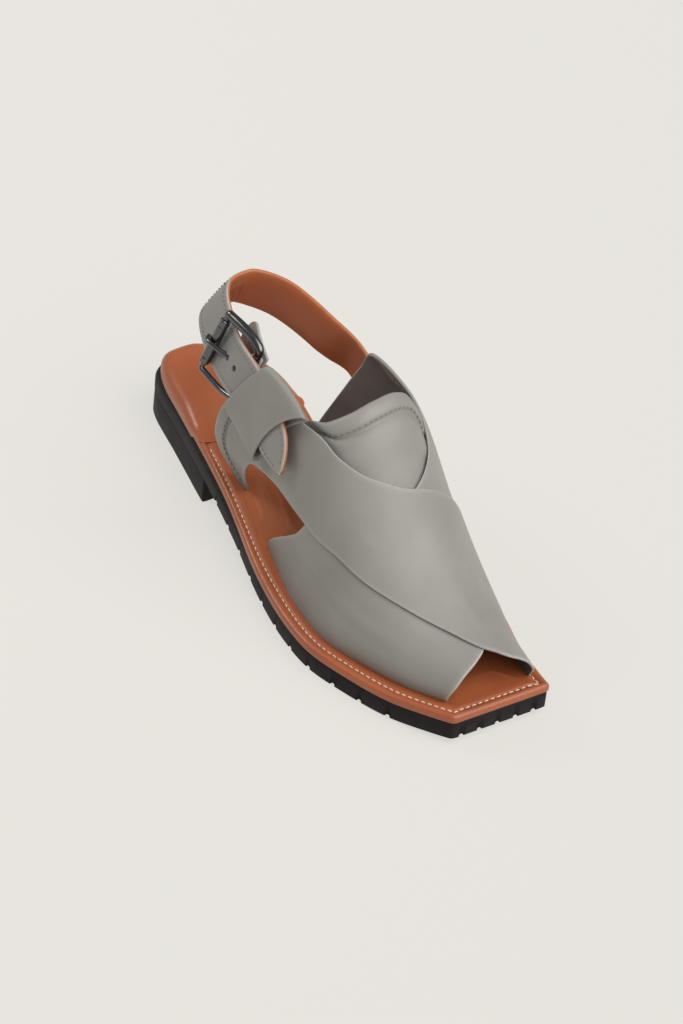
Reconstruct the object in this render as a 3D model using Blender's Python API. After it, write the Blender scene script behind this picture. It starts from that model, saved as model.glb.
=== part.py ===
"""Peshawari chappal, one right shoe: two crossed straps on a leather and rubber sole, with a buckled strap
behind the heel. Metres, +X to the toe, +Y to the medial side, +Z up, the floor at z = 0, and the origin
on the floor under the middle of the sole's outline."""

import math

import bmesh
import bpy
import numpy as np
from mathutils import Matrix, Vector

# Sole sizes
SOLE_LENGTH = 0.300
BALL_WIDTH = 0.102
RUBBER = 0.010
HEEL_LIFT = 0.0158
HEEL_LENGTH = 0.083
HEEL_TAPER = 0.0012
SLOPE_START = 0.070
SLOPE_END = 0.197
SPRING_START = 0.235
TOE_SPRING = 0.0046
MIDSOLE = 0.0045
MIDSOLE_OVERHANG = 0.0006
PAD_HEIGHT = 0.0062
PAD_LENGTH = 0.072
PAD_DOME = 0.0018
INSOLE = 0.0018
INSOLE_INSET = 0.0128
GROOVE_DEPTH = 0.0014
GROOVE_WIDTH = 0.0028
GROOVE_PITCH = 0.0165
TOE_GROOVE_PITCH = 0.0105
TOE_GROOVE_LENGTH = 0.012
GAP = 0.0003

# Upper sizes
INSTEP_HEIGHT = 0.101
LAST_INSET = 0.0118
TUCK_HEIGHT = 0.026
LINED_LEATHER = 0.0024
TONGUE_LEATHER = 0.0022
UNDER_STRAP_OFF = TONGUE_LEATHER + 2 * GAP
CROSSING_RISE = 0.0018
RIM_PADDING = 0.0026
RIM_WIDTH = 0.011

# Slingback, buckle and keeper sizes
BAND_WIDTH = 0.024
BAND_LEATHER = 0.0022
TIP_LENGTH = 0.014
CHAPE_LEATHER = 0.0016
UNDERLAY_LEATHER = 0.0016
UNDERLAY_SHIFT = 0.0065
BUCKLE_WIRE = 0.0034
BUCKLE_LENGTH = 0.0265
BUCKLE_INSIDE = 0.0265
ROLLER_RADIUS = 0.0028
ROLLER_GAP = 0.0010
PRONG_WIRE = 0.0024
HOLE_RADIUS = 0.0019
HOLE_PITCH = 0.0085
KEEPER_LEATHER = 0.0016
KEEPER_LENGTH = 0.034
KEEPER_SIDE = 0.0016
CHAPE_WIDTH = 0.0215
MEDIAL_SLANT = 0.5

# The sole's outline: along as a share of the length, the two sides as shares of the ball width from the
# foot's axis, and how far the medial point of the row lies ahead of the lateral one.
# columns: along, lateral, medial, skew
OUTLINE = (
    (0.000, -0.030, 0.060, 0.0),
    (0.005, -0.088, 0.118, 0.0),
    (0.020, -0.138, 0.184, 0.0),
    (0.047, -0.172, 0.258, 0.0),
    (0.083, -0.198, 0.320, 0.0),
    (0.133, -0.229, 0.363, 0.0),
    (0.200, -0.275, 0.376, 0.0),
    (0.267, -0.321, 0.341, 0.0),
    (0.350, -0.373, 0.290, 0.0),
    (0.433, -0.425, 0.294, 0.0),
    (0.533, -0.497, 0.353, 0.0),
    (0.633, -0.545, 0.412, 0.0),
    (0.717, -0.557, 0.441, 0.0),
    (0.800, -0.500, 0.422, 0.0),
    (0.883, -0.422, 0.349, 0.0),
    (0.950, -0.322, 0.304, 0.003),
    (0.988, -0.260, 0.280, 0.012),
)

# The last's inner surface, a row for each section: along as a share of the length, the ridge's place and the
# two half widths as shares of the ball width, the height as a share of the instep, and how square each side is.
# columns: along, ridge, lateral, medial, height, lateral_square, medial_square
LAST = (
    (0.233, 0.020, 0.275, 0.275, 0.78, 2.3, 4.0),
    (0.300, 0.020, 0.275, 0.275, 0.82, 2.3, 4.0),
    (0.400, 0.020, 0.295, 0.284, 0.91, 2.4, 4.0),
    (0.500, 0.020, 0.345, 0.304, 1.00, 2.4, 3.2),
    (0.583, 0.020, 0.382, 0.353, 0.96, 2.2, 2.5),
    (0.667, 0.000, 0.412, 0.373, 0.72, 2.0, 2.1),
    (0.750, -0.020, 0.412, 0.363, 0.50, 1.9, 1.9),
    (0.833, -0.020, 0.373, 0.324, 0.35, 1.9, 1.9),
    (0.907, 0.000, 0.304, 0.255, 0.25, 1.9, 1.9),
    (1.000, 0.010, 0.216, 0.190, 0.18, 2.0, 2.0),
)

# Each strap's two edges on the last: along as a share of the length, and around as a share of the way from
# the lateral to the medial side of the sole.
# columns: rear_along, rear_around, front_along, front_around
UNDER_STRAP = (
    (0.477, 0.000, 0.947, 0.000),
    (0.543, 0.065, 0.970, 0.150),
    (0.590, 0.120, 0.970, 0.270),
    (0.650, 0.250, 0.960, 0.380),
    (0.693, 0.400, 0.940, 0.470),
    (0.693, 0.520, 0.893, 0.580),
    (0.653, 0.637, 0.833, 0.700),
    (0.603, 0.690, 0.773, 0.800),
    (0.500, 0.718, 0.745, 0.855),
    (0.428, 0.755, 0.730, 0.900),
    (0.390, 0.860, 0.723, 0.935),
    (0.350, 0.945, 0.717, 0.970),
    (0.310, 1.000, 0.710, 1.000),
)
TOP_STRAP = (
    (0.360, 0.000, 0.400, 0.000),
    (0.285, 0.030, 0.405, 0.040),
    (0.275, 0.070, 0.425, 0.076),
    (0.300, 0.150, 0.460, 0.088),
    (0.393, 0.225, 0.507, 0.107),
    (0.500, 0.257, 0.560, 0.123),
    (0.560, 0.285, 0.617, 0.150),
    (0.600, 0.307, 0.683, 0.205),
    (0.640, 0.360, 0.757, 0.262),
    (0.670, 0.427, 0.827, 0.323),
    (0.690, 0.500, 0.893, 0.385),
    (0.695, 0.600, 0.948, 0.450),
    (0.693, 0.690, 0.975, 0.540),
    (0.690, 0.790, 0.975, 0.670),
    (0.683, 0.900, 0.962, 0.840),
    (0.677, 1.000, 0.945, 1.000),
)
TONGUE = (
    (0.480, 0.150, 0.690, 0.160),
    (0.487, 0.210, 0.705, 0.240),
    (0.507, 0.270, 0.705, 0.300),
    (0.545, 0.320, 0.705, 0.350),
    (0.567, 0.400, 0.705, 0.420),
    (0.571, 0.480, 0.705, 0.490),
    (0.565, 0.570, 0.705, 0.570),
    (0.565, 0.640, 0.705, 0.640),
    (0.590, 0.700, 0.700, 0.700),
    (0.595, 0.780, 0.690, 0.780),
)

# The slingback's middle line from the medial quarter round the heel, and the way its width leans. Lengths are
# shares of the length, the ball width and the instep height. Its tail then lies on the last.
# columns: along, across, up, lean_along, lean_across
BAND = (
    (0.394, 0.306, 0.845, 0.28, 0.05),
    (0.342, 0.315, 0.872, 0.30, 0.10),
    (0.288, 0.298, 0.909, 0.33, 0.15),
    (0.228, 0.250, 0.952, 0.35, 0.20),
    (0.190, 0.205, 0.972, 0.35, 0.25),
    (0.159, 0.122, 0.992, 0.35, 0.30),
    (0.147, 0.050, 1.000, 0.35, 0.33),
    (0.150, -0.075, 1.010, 0.35, 0.37),
    (0.180, -0.155, 1.000, 0.36, 0.38),
    (0.225, -0.210, 0.970, 0.36, 0.38),
)
# columns: along, around, lift
TAIL = (
    (0.310, 0.240, 0.0045),
    (0.363, 0.224, 0.0030),
    (0.420, 0.202, 0.0006),
    (0.475, 0.185, 0.0),
    (0.523, 0.153, 0.0),
)
BUCKLE_ROW = len(BAND)
KEEPER_ROW = len(BAND) + 2.1

COLLECTION = bpy.data.collections.new("peshawari_chappal")
CUTTERS = bpy.data.collections.new("cutters")


def clear_scene():
    for thing in list(bpy.data.objects):
        bpy.data.objects.remove(thing, do_unlink=True)
    bpy.context.scene.collection.children.link(COLLECTION)
    bpy.context.scene.collection.children.link(CUTTERS)


def material(name, colour, roughness, metallic=0.0):
    made = bpy.data.materials.new(name)
    made.use_nodes = True
    shader = made.node_tree.nodes["Principled BSDF"]
    shader.inputs["Base Color"].default_value = (*colour, 1.0)
    shader.inputs["Roughness"].default_value = roughness
    shader.inputs["Metallic"].default_value = metallic
    return made


def catmull(table, place):
    """A row of the table at a fractional place, on a smooth curve through its rows."""
    rows = np.asarray(table, float)
    place = min(max(place, 0.0), len(rows) - 1.0)
    low = min(int(place), len(rows) - 2)
    t = place - low
    p1 = rows[low]
    p2 = rows[low + 1]
    p0 = rows[low - 1] if low else 2 * p1 - p2
    p3 = rows[low + 2] if low + 2 < len(rows) else 2 * p2 - p1
    return 0.5 * (2 * p1 + (p2 - p0) * t + (2 * p0 - 5 * p1 + 4 * p2 - p3) * t**2 + (3 * p1 - p0 - 3 * p2 + p3) * t**3)


def row_at(table, along):
    """The row whose first column has the given value, found by bisection."""
    low = 0.0
    high = len(table) - 1.0
    for _ in range(30):
        middle = (low + high) / 2
        if catmull(table, middle)[0] < along:
            low = middle
        else:
            high = middle
    return catmull(table, low)


def smooth(value):
    value = min(max(value, 0.0), 1.0)
    return value * value * (3 - 2 * value)


def rubber_top(x):
    """Height of the rubber's upper face: high at the heel, down the waist, and up again at the toe."""
    slope = smooth((x - SLOPE_START) / (SLOPE_END - SLOPE_START))
    spring = max(x - SPRING_START, 0.0) / (SOLE_LENGTH - SPRING_START)
    return RUBBER + HEEL_LIFT * (1 - slope) + TOE_SPRING * spring**2


def midsole_top(x):
    return rubber_top(x) + GAP + MIDSOLE


def outline_at(place, inset):
    """The outline's lateral and medial points at a row, moved in from the edge by inset."""
    along, lateral, medial, skew = catmull(OUTLINE, place)
    ahead = catmull(OUTLINE, place + 0.02)
    behind = catmull(OUTLINE, place - 0.02)
    step = (ahead[0] - behind[0]) * SOLE_LENGTH
    shrink = (SOLE_LENGTH - 2 * inset) / SOLE_LENGTH
    points = []
    for side, column, lead in ((-1, 1, 0.0), (1, 2, skew)):
        slant = (ahead[column] - behind[column]) * BALL_WIDTH
        across = abs(step) / math.hypot(step, slant)
        x = SOLE_LENGTH * (0.5 + (along + lead - 0.5) * shrink)
        points.append((x, (lateral, medial)[column - 1] * BALL_WIDTH - side * inset * across))
    return points


def outline_bounds():
    rows = [outline_at(k / 8, 0.0) for k in range(8 * (len(OUTLINE) - 1) + 1)]
    xs = [p[0] for row in rows for p in row]
    ys = [p[1] for row in rows for p in row]
    return (min(xs) + max(xs)) / 2, (min(ys) + max(ys)) / 2


CENTRE_X, CENTRE_Y = outline_bounds()


def placed(x, y, z):
    """From the foot's axis, measured from the heel's back, to the part's own frame."""
    return (x - CENTRE_X, y - CENTRE_Y, z)


def keep(name, mesh, paint, collection=COLLECTION):
    made = bpy.data.objects.new(name, mesh)
    collection.objects.link(made)
    if paint:
        own = paint.copy()
        own.name = name + "_" + paint.name
        mesh.materials.append(own)
    mesh.shade_smooth()
    mesh.set_sharp_from_angle(angle=math.radians(40))
    if collection is CUTTERS:
        made.hide_render = True
        made.display_type = "WIRE"
    return made


def finish_mesh(name, form):
    bmesh.ops.recalc_face_normals(form, faces=form.faces)
    if form.calc_volume(signed=True) < 0:
        bmesh.ops.reverse_faces(form, faces=form.faces)
    mesh = bpy.data.meshes.new(name)
    form.to_mesh(mesh)
    form.free()
    return mesh


def loft(name, rings, paint, collection=COLLECTION):
    """A closed solid through rings of equally many points, with flat ends."""
    form = bmesh.new()
    made = [[form.verts.new(placed(*point)) for point in ring] for ring in rings]
    count = len(made[0])
    for first, second in zip(made, made[1:]):
        for k in range(count):
            after = (k + 1) % count
            form.faces.new((first[k], first[after], second[after], second[k]))
    form.faces.new(made[0])
    form.faces.new(made[-1])
    return keep(name, finish_mesh(name, form), paint, collection)


def shell(name, columns, rows, place, paint, collection=COLLECTION):
    """A wall: a grid for its inner face, extruded to its outer face, with place(u, v, side) for each point."""
    form = bmesh.new()
    bmesh.ops.create_grid(form, x_segments=columns, y_segments=rows, size=0.5)
    shares = {vert: (vert.co.x + 0.5, vert.co.y + 0.5) for vert in form.verts}
    inner = list(form.verts)
    grown = bmesh.ops.extrude_face_region(form, geom=list(form.faces))
    outer = [item for item in grown["geom"] if isinstance(item, bmesh.types.BMVert)]
    for vert in outer:
        u, v = vert.co.x + 0.5, vert.co.y + 0.5
        vert.co = placed(*place(u, v, 1))
    for vert in inner:
        u, v = shares[vert]
        vert.co = placed(*place(u, v, 0))
    return keep(name, finish_mesh(name, form), paint, collection)


def boolean(target, cutter, operation):
    modifier = target.modifiers.new(operation.lower(), "BOOLEAN")
    modifier.operation = operation
    modifier.object = cutter
    modifier.solver = "EXACT"


def plate(name, first, last, inset, bottom, top, paint, rounding=0.0, dome=0.0, steps=3, taper=0.0, ends=None):
    """A layer of the sole between two rows of the outline, with rounded upper edges."""
    rings = []
    count = max(2, round((last - first) * steps))
    for k in range(count + 1):
        row = first + (last - first) * k / count
        low = outline_at(row, inset + taper)
        high = outline_at(row, inset)
        crown = outline_at(row, inset + rounding)
        ring = []
        for side in (0, 1):
            z_low = bottom(low[side][0])
            z_high = top(high[side][0])
            drop = min(rounding, z_high - z_low - 0.0004)
            arc = [
                (low[side][0], low[side][1], z_low),
                (high[side][0], high[side][1], z_high - drop),
            ]
            if rounding:
                corner = outline_at(row, inset + 0.29 * rounding)
                arc.append((corner[side][0], corner[side][1], z_high - 0.29 * drop))
                arc.append((crown[side][0], crown[side][1], z_high))
            ring.append(arc)
        middle = []
        if dome:
            for share in (0.25, 0.5, 0.75):
                x = crown[0][0] + (crown[1][0] - crown[0][0]) * share
                y = crown[0][1] + (crown[1][1] - crown[0][1]) * share
                middle.append((x, y, top(x) + dome * (1 - (2 * share - 1) ** 2)))
        rings.append(ring[0] + middle + ring[1][::-1])
    return loft(name, rings, paint)


def last_point(along, around, off):
    """A point on the last, from the lateral (0) to the medial (1) side of the sole, off from its surface."""
    _, ridge, lateral, medial, height, lateral_square, medial_square = row_at(LAST, along)
    x = along * SOLE_LENGTH
    edge = row_at(OUTLINE, along)
    angle = math.pi * (1 - around)
    side = -1 if around < 0.5 else 1
    square = lateral_square if side < 0 else medial_square
    blend = smooth((around - 0.38) / 0.24)
    square = lateral_square * (1 - blend) + medial_square * blend
    half = (lateral if side < 0 else medial) * BALL_WIDTH + off
    rise = height * INSTEP_HEIGHT + off
    cos, sin = math.cos(angle), max(math.sin(angle), 0.0)
    y = ridge * BALL_WIDTH + half * math.copysign(abs(cos) ** (2 / square), cos)
    up = rise * sin ** (2 / square)
    base = edge[1 if side < 0 else 2] * BALL_WIDTH - side * (LAST_INSET - off)
    widest = ridge * BALL_WIDTH + side * half
    tuck = 1 - min(up / TUCK_HEIGHT, 1.0)
    y += (base - widest) * tuck**2
    return x, y, midsole_top(x) + GAP + up


def strap_point(table, u, v, off):
    rear_along, rear_around, front_along, front_around = catmull(table, u * (len(table) - 1))
    along = rear_along + (front_along - rear_along) * v
    around = rear_around + (front_around - rear_around) * v
    return last_point(along, min(max(around, 0.0), 1.0), off)


def top_strap_off(u):
    """The top strap climbs over the under strap between its two feet."""
    return UNDER_STRAP_OFF + CROSSING_RISE * smooth(u / 0.3) * smooth((1 - u) / 0.12)


def under_strap_place(u, v, side):
    return strap_point(UNDER_STRAP, u, v, UNDER_STRAP_OFF + side * LINED_LEATHER)


def top_strap_place(u, v, side):
    return strap_point(TOP_STRAP, u, v, top_strap_off(u) + side * LINED_LEATHER)


def tongue_place(u, v, side):
    rear = np.array(strap_point(TONGUE, u, 0.0, 0.0))
    here = np.array(strap_point(TONGUE, u, v, 0.0))
    reach = float(np.linalg.norm(here - rear))
    padding = RIM_PADDING * (1 - smooth((reach - 0.8 * RIM_WIDTH) / (0.3 * RIM_WIDTH)))
    shown = smooth((u - 0.22) / 0.14) * smooth((0.86 - u) / 0.12)
    return strap_point(TONGUE, u, v, side * (TONGUE_LEATHER + padding * shown))


def unit(vector):
    return vector / np.linalg.norm(vector)


def tail_off():
    """How far the slingback's middle lies off the last where it crosses the top strap, on its keeper and chape."""
    top_strap = UNDER_STRAP_OFF + CROSSING_RISE + LINED_LEATHER
    return top_strap + GAP + KEEPER_LEATHER + GAP + CHAPE_LEATHER + GAP + BAND_LEATHER / 2


def band_rows():
    """Each row's middle point and width direction: free ones from their shares, and the tail's from the last."""
    rows = []
    for along, across, up, lean_along, lean_across in BAND:
        width = (lean_along, lean_across, math.sqrt(1 - lean_along**2 - lean_across**2))
        rows.append((along * SOLE_LENGTH, across * BALL_WIDTH, up * INSTEP_HEIGHT, *width))
    for along, around, lift in TAIL:
        off = tail_off() + lift
        low = np.array(last_point(along, around - 0.03, off))
        high = np.array(last_point(along, around + 0.03, off))
        rows.append((*last_point(along, around, off), *unit(high - low)))
    return rows


BAND_ROWS = band_rows()
BAND_END = len(BAND_ROWS) - 1


def band_frame(place):
    """Middle point, forward, width and outward directions of the slingback at a row."""
    here = catmull(BAND_ROWS, place)
    forward = unit(catmull(BAND_ROWS, place + 0.02)[:3] - catmull(BAND_ROWS, place - 0.02)[:3])
    width = here[3:] - forward * float(here[3:] @ forward)
    width = unit(width)
    return here[:3], forward, width, np.cross(forward, width)


def band_length(first, last):
    points = [band_frame(first + (last - first) * k / 90)[0] for k in range(91)]
    return float(sum(np.linalg.norm(b - a) for a, b in zip(points, points[1:])))


def row_after(row, distance):
    """The row that lies a distance further along the slingback."""
    step = 0.01 if distance > 0 else -0.01
    travelled = 0.0
    here = band_frame(row)[0]
    while travelled < abs(distance):
        row += step
        after = band_frame(row)[0]
        travelled += float(np.linalg.norm(after - here))
        here = after
    return row


def build_sole(rubber, tan):
    last_row = len(OUTLINE) - 1
    heel_row = 0.0
    while outline_at(heel_row, 0.0)[0][0] < HEEL_LENGTH:
        heel_row += 0.02
    pad_row = 0.0
    while outline_at(pad_row, 0.0)[0][0] < PAD_LENGTH:
        pad_row += 0.02
    outsole = plate("outsole", 0, last_row, 0.0, lambda x: rubber_top(x) - RUBBER, rubber_top, rubber)
    cut_tread(outsole)
    lift_top = lambda x: rubber_top(x) - RUBBER - GAP
    plate("heel_block", 0, heel_row, 0.0, lambda x: 0.0, lift_top, rubber, taper=HEEL_TAPER)
    seat = lambda x: rubber_top(x) + GAP
    plate("midsole", 0, last_row, -MIDSOLE_OVERHANG, seat, midsole_top, tan, rounding=0.0020)
    pad_seat = lambda x: midsole_top(x) + GAP
    pad_top = lambda x: pad_seat(x) + 0.0008 + (PAD_HEIGHT - 0.0008) * smooth((PAD_LENGTH + 0.004 - x) / 0.022)
    plate("heel_pad", 0.12, pad_row, 0.0006, pad_seat, pad_top, tan, rounding=0.0036, dome=PAD_DOME)
    insole_top = lambda x: pad_seat(x) + INSOLE
    plate("insole", pad_row + 0.35, last_row - 0.2, INSOLE_INSET, pad_seat, insole_top, tan, rounding=0.0008)


def cut_tread(outsole):
    """Grooves across the rubber's under side, and short ones running in from the toe."""
    form = bmesh.new()
    x = HEEL_LENGTH + GROOVE_PITCH
    while x < SOLE_LENGTH - TOE_GROOVE_LENGTH - GROOVE_PITCH / 2:
        groove = bmesh.ops.create_cube(form, size=1.0)["verts"]
        size = (GROOVE_WIDTH, 1.5 * BALL_WIDTH, 2 * GROOVE_DEPTH)
        bmesh.ops.scale(form, vec=size, verts=groove)
        bmesh.ops.translate(form, vec=placed(x, 0.0, rubber_top(x) - RUBBER), verts=groove)
        x += GROOVE_PITCH
    for k in range(-2, 3):
        groove = bmesh.ops.create_cube(form, size=1.0)["verts"]
        bmesh.ops.scale(form, vec=(2 * TOE_GROOVE_LENGTH, GROOVE_WIDTH, 2 * GROOVE_DEPTH), verts=groove)
        bmesh.ops.rotate(form, cent=(0, 0, 0), matrix=slant_matrix(), verts=groove)
        bmesh.ops.translate(form, vec=placed(SOLE_LENGTH, k * TOE_GROOVE_PITCH, TOE_SPRING), verts=groove)
    cutter = keep("tread_cutter", finish_mesh("tread_cutter", form), None, CUTTERS)
    boolean(outsole, cutter, "DIFFERENCE")


def slant_matrix():
    """The slope of the sole's under side near the toe."""
    angle = math.atan2(2 * TOE_SPRING, SOLE_LENGTH - SPRING_START)
    return Matrix.Rotation(-angle, 3, "Y")


def build_upper(grey):
    upper = shell("upper", 34, 14, under_strap_place, grey)
    top = shell("top_strap_form", 36, 13, top_strap_place, None, CUTTERS)
    boolean(upper, top, "UNION")
    shell("tongue", 22, 10, tongue_place, grey)
    return upper


def along_band(first, last, depth, thickness, half_width, shift=0.0):
    """A place function for a strap that follows the slingback, depth outward from its middle."""
    def place(u, v, side):
        middle, _, width, out = band_frame(first + (last - first) * u)
        return middle + width * (shift + (2 * v - 1) * half_width(u)) + out * (depth + (side - 0.5) * thickness)
    return place


def rounded_end(length, end_length, half, tail=0.12):
    """Half width along a strap whose last stretch narrows to a round end."""
    def half_width(u):
        reach = (1 - u) * length
        share = min(1.0, reach / end_length)
        return half * (tail + (1 - tail) * math.sqrt(max(0.0, 1 - (1 - share) ** 2)))
    return half_width


def build_slingback(grey):
    length = band_length(0, BAND_END)
    half_width = rounded_end(length, TIP_LENGTH, BAND_WIDTH / 2)

    def place(u, v, side):
        slant = MEDIAL_SLANT * (1 - v) * max(0.0, 1 - 10 * u)
        middle, _, width, out = band_frame(BAND_END * u + slant)
        return middle + width * (2 * v - 1) * half_width(u) + out * (side - 0.5) * BAND_LEATHER

    band = shell("slingback", 64, 2, place, grey)
    middle, _, _, out = band_frame(row_after(BUCKLE_ROW, HOLE_PITCH))
    boolean(band, rod("hole_cutter", middle, out, HOLE_RADIUS, 3 * BAND_LEATHER), "DIFFERENCE")
    return band


def rod(name, middle, axis, radius, length, paint=None, collection=CUTTERS):
    """A round bar about its middle."""
    form = bmesh.new()
    bmesh.ops.create_cone(form, cap_ends=True, segments=16, radius1=radius, radius2=radius, depth=length)
    turn = Vector((0, 0, 1)).rotation_difference(Vector(axis)).to_matrix()
    bmesh.ops.rotate(form, cent=(0, 0, 0), matrix=turn, verts=form.verts)
    bmesh.ops.translate(form, vec=placed(*middle), verts=form.verts)
    return keep(name, finish_mesh(name, form), paint, collection)


def tube(name, points, radius, paint, closed=False, resolution=2, collection=COLLECTION):
    """A wire along points, as a mesh."""
    curve = bpy.data.curves.new(name, "CURVE")
    curve.dimensions = "3D"
    curve.bevel_depth = radius
    curve.bevel_resolution = resolution
    curve.use_fill_caps = not closed
    spline = curve.splines.new("POLY")
    spline.points.add(len(points) - 1)
    for knot, point in zip(spline.points, points):
        knot.co = (*placed(*point), 1.0)
    spline.use_cyclic_u = closed
    holder = bpy.data.objects.new(name + "_wire", curve)
    COLLECTION.objects.link(holder)
    bpy.context.view_layer.update()
    graph = bpy.context.evaluated_depsgraph_get()
    form = bmesh.new()
    form.from_mesh(bpy.data.meshes.new_from_object(holder.evaluated_get(graph)))
    bmesh.ops.remove_doubles(form, verts=form.verts, dist=0.00001)
    bpy.data.objects.remove(holder, do_unlink=True)
    return keep(name, finish_mesh(name, form), paint, collection)


def buckle_frame_axes():
    """The bar's middle, the direction from bar to roller, the width and the outward direction of the frame."""
    bar_row = row_after(BUCKLE_ROW, BUCKLE_LENGTH / 2)
    roller_row = row_after(BUCKLE_ROW, -BUCKLE_LENGTH / 2)
    bar_middle, _, width, bar_out = band_frame(bar_row)
    roller_middle, _, _, roller_out = band_frame(roller_row)
    bar = bar_middle - bar_out * (BAND_LEATHER / 2 + GAP + CHAPE_LEATHER + GAP + BUCKLE_WIRE / 2)
    roller = roller_middle + roller_out * (BAND_LEATHER / 2 + ROLLER_GAP + ROLLER_RADIUS)
    toward = unit(roller - bar)
    width = unit(width - toward * float(width @ toward))
    return bar, roller, toward, width, np.cross(-toward, width)


def build_buckle(metal):
    bar, roller, toward, width, out = buckle_frame_axes()
    half = BUCKLE_INSIDE / 2 + BUCKLE_WIRE / 2
    length = float(np.linalg.norm(roller - bar))
    corner = BUCKLE_WIRE
    ring = []
    for ahead, side in ((0, -1), (0, 1), (1, 1), (1, -1)):
        for k in range(4):
            angle = math.pi / 2 * k / 3
            inward = corner * (1 - math.cos(angle))
            across = corner * (1 - math.sin(angle))
            first, second = (across, inward) if (ahead + (side > 0)) % 2 == 0 else (inward, across)
            if ahead:
                along = length - first
            else:
                along = first
            ring.append(bar + toward * along + width * side * (half - second))
    tube("buckle_frame", ring, BUCKLE_WIRE / 2, metal, closed=True, resolution=2)
    wall = ROLLER_RADIUS - BUCKLE_WIRE / 2 - GAP
    body = rod("buckle_roller", roller, width, ROLLER_RADIUS, BUCKLE_INSIDE - 2 * corner, metal, COLLECTION)
    bore = rod("roller_bore", roller, width, ROLLER_RADIUS - wall, 2 * BUCKLE_INSIDE)
    boolean(body, bore, "DIFFERENCE")


def build_prong(metal, leathers):
    """A wire hooked round the bar that runs up through the hole and rests on the roller."""
    bar, roller, toward, _, out = buckle_frame_axes()
    length = float(np.linalg.norm(roller - bar))
    turn = BUCKLE_WIRE / 2 + GAP + PRONG_WIRE / 2
    points = []
    for k in range(8):
        angle = math.radians(170 - 25 * k)
        points.append(bar + toward * turn * math.cos(angle) - out * turn * math.sin(angle))
    points = points[::-1][1:][::-1]
    rest = ROLLER_RADIUS + GAP + PRONG_WIRE / 2
    for share, lift in ((0.18, -0.02), (0.32, 0.0), (0.45, 0.12), (0.60, 0.42), (0.78, 0.80), (0.93, 1.0)):
        points.append(bar + toward * length * share + out * rest * lift)
    for angle in (75, 45, 15):
        spot = math.radians(angle)
        points.append(roller + toward * rest * math.cos(spot) + out * rest * math.sin(spot))
    tube("buckle_prong", points, PRONG_WIRE / 2, metal)
    room = tube("prong_room", points, PRONG_WIRE / 2 + 1.5 * GAP, None, collection=CUTTERS)
    for leather in leathers:
        boolean(leather, room, "DIFFERENCE")


def build_chape(grey):
    """The short strap that holds the buckle: flat under the slingback, then wrapped round the bar."""
    bar, roller, toward, width, out = buckle_frame_axes()
    depth = -(BAND_LEATHER / 2 + GAP + CHAPE_LEATHER / 2)
    bar_row = row_after(BUCKLE_ROW, BUCKLE_LENGTH / 2)
    start = row_after(KEEPER_ROW, KEEPER_LENGTH * 0.62)
    radius = BUCKLE_WIRE / 2 + GAP + CHAPE_LEATHER / 2
    rail = []
    for k in range(9):
        row = start + (row_after(bar_row, 0.0035) - start) * k / 8
        middle, _, across, outward = band_frame(row)
        rail.append((middle + outward * depth, across, outward))
    for k in range(7):
        angle = math.radians(80 - 40 * k)
        normal = toward * math.cos(angle) + out * math.sin(angle)
        rail.append((bar + normal * radius, width, normal))

    def place(u, v, side):
        spot = catmull([np.concatenate(item) for item in rail], u * (len(rail) - 1))
        normal = unit(spot[6:])
        return spot[:3] + spot[3:6] * (2 * v - 1) * CHAPE_WIDTH / 2 + normal * (side - 0.5) * CHAPE_LEATHER

    return shell("buckle_strap", 40, 3, place, grey)


def build_underlay(grey):
    """The flap that keeps the buckle off the foot: it shows past the buckle's upper side."""
    first = row_after(BUCKLE_ROW, BUCKLE_LENGTH * 0.55)
    last = row_after(BUCKLE_ROW, -BUCKLE_LENGTH * 0.62)
    wrap = BUCKLE_WIRE + 2 * (GAP + CHAPE_LEATHER)
    depth = -(BAND_LEATHER / 2 + GAP + wrap + GAP + UNDERLAY_LEATHER / 2)
    half_width = rounded_end(band_length(first, last), TIP_LENGTH * 0.6, CHAPE_WIDTH / 2, 0.35)
    place = along_band(first, last, depth, UNDERLAY_LEATHER, half_width, UNDERLAY_SHIFT)
    return shell("underlay", 16, 3, place, grey)


def build_keeper(grey):
    """A wide loop round the slingback and its chape."""
    inside = BAND_WIDTH / 2 + KEEPER_SIDE
    top = BAND_LEATHER / 2 + GAP
    bottom = BAND_LEATHER / 2 + GAP + CHAPE_LEATHER + GAP
    count = 28
    form = bmesh.new()
    loops = []
    rows = 7
    for k in range(rows):
        share = k / (rows - 1) - 0.5
        middle, _, width, out = band_frame(row_after(KEEPER_ROW, KEEPER_LENGTH * share))
        pair = []
        for grow in (0.0, KEEPER_LEATHER):
            ring = []
            for step in range(count):
                angle = 2 * math.pi * step / count
                across = math.copysign(abs(math.cos(angle)) ** 0.35, math.cos(angle)) * (inside + grow)
                reach = (top if math.sin(angle) > 0 else bottom) + grow
                lift = math.copysign(abs(math.sin(angle)) ** 0.35, math.sin(angle)) * reach
                ring.append(form.verts.new(placed(*(middle + width * across + out * lift))))
            pair.append(ring)
        loops.append(pair)
    for first, second in zip(loops, loops[1:]):
        for ring, after in zip(first, second):
            for step in range(count):
                form.faces.new((ring[step], ring[step - 1], after[step - 1], after[step]))
    for inner, outer in (loops[0], loops[-1]):
        for step in range(count):
            form.faces.new((inner[step], inner[step - 1], outer[step - 1], outer[step]))
    return keep("keeper", finish_mesh("keeper", form), grey)


def main():
    clear_scene()
    rubber = material("rubber", (0.022, 0.019, 0.018), 0.45)
    tan = material("tan_leather", (0.43, 0.14, 0.045), 0.38)
    grey = material("grey_leather", (0.27, 0.26, 0.22), 0.42)
    build_sole(rubber, tan)
    build_upper(grey)
    metal = material("gunmetal", (0.10, 0.10, 0.105), 0.22, 1.0)
    build_keeper(grey)
    build_buckle(metal)
    build_prong(metal, (build_slingback(grey), build_chape(grey), build_underlay(grey)))


main()
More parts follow.
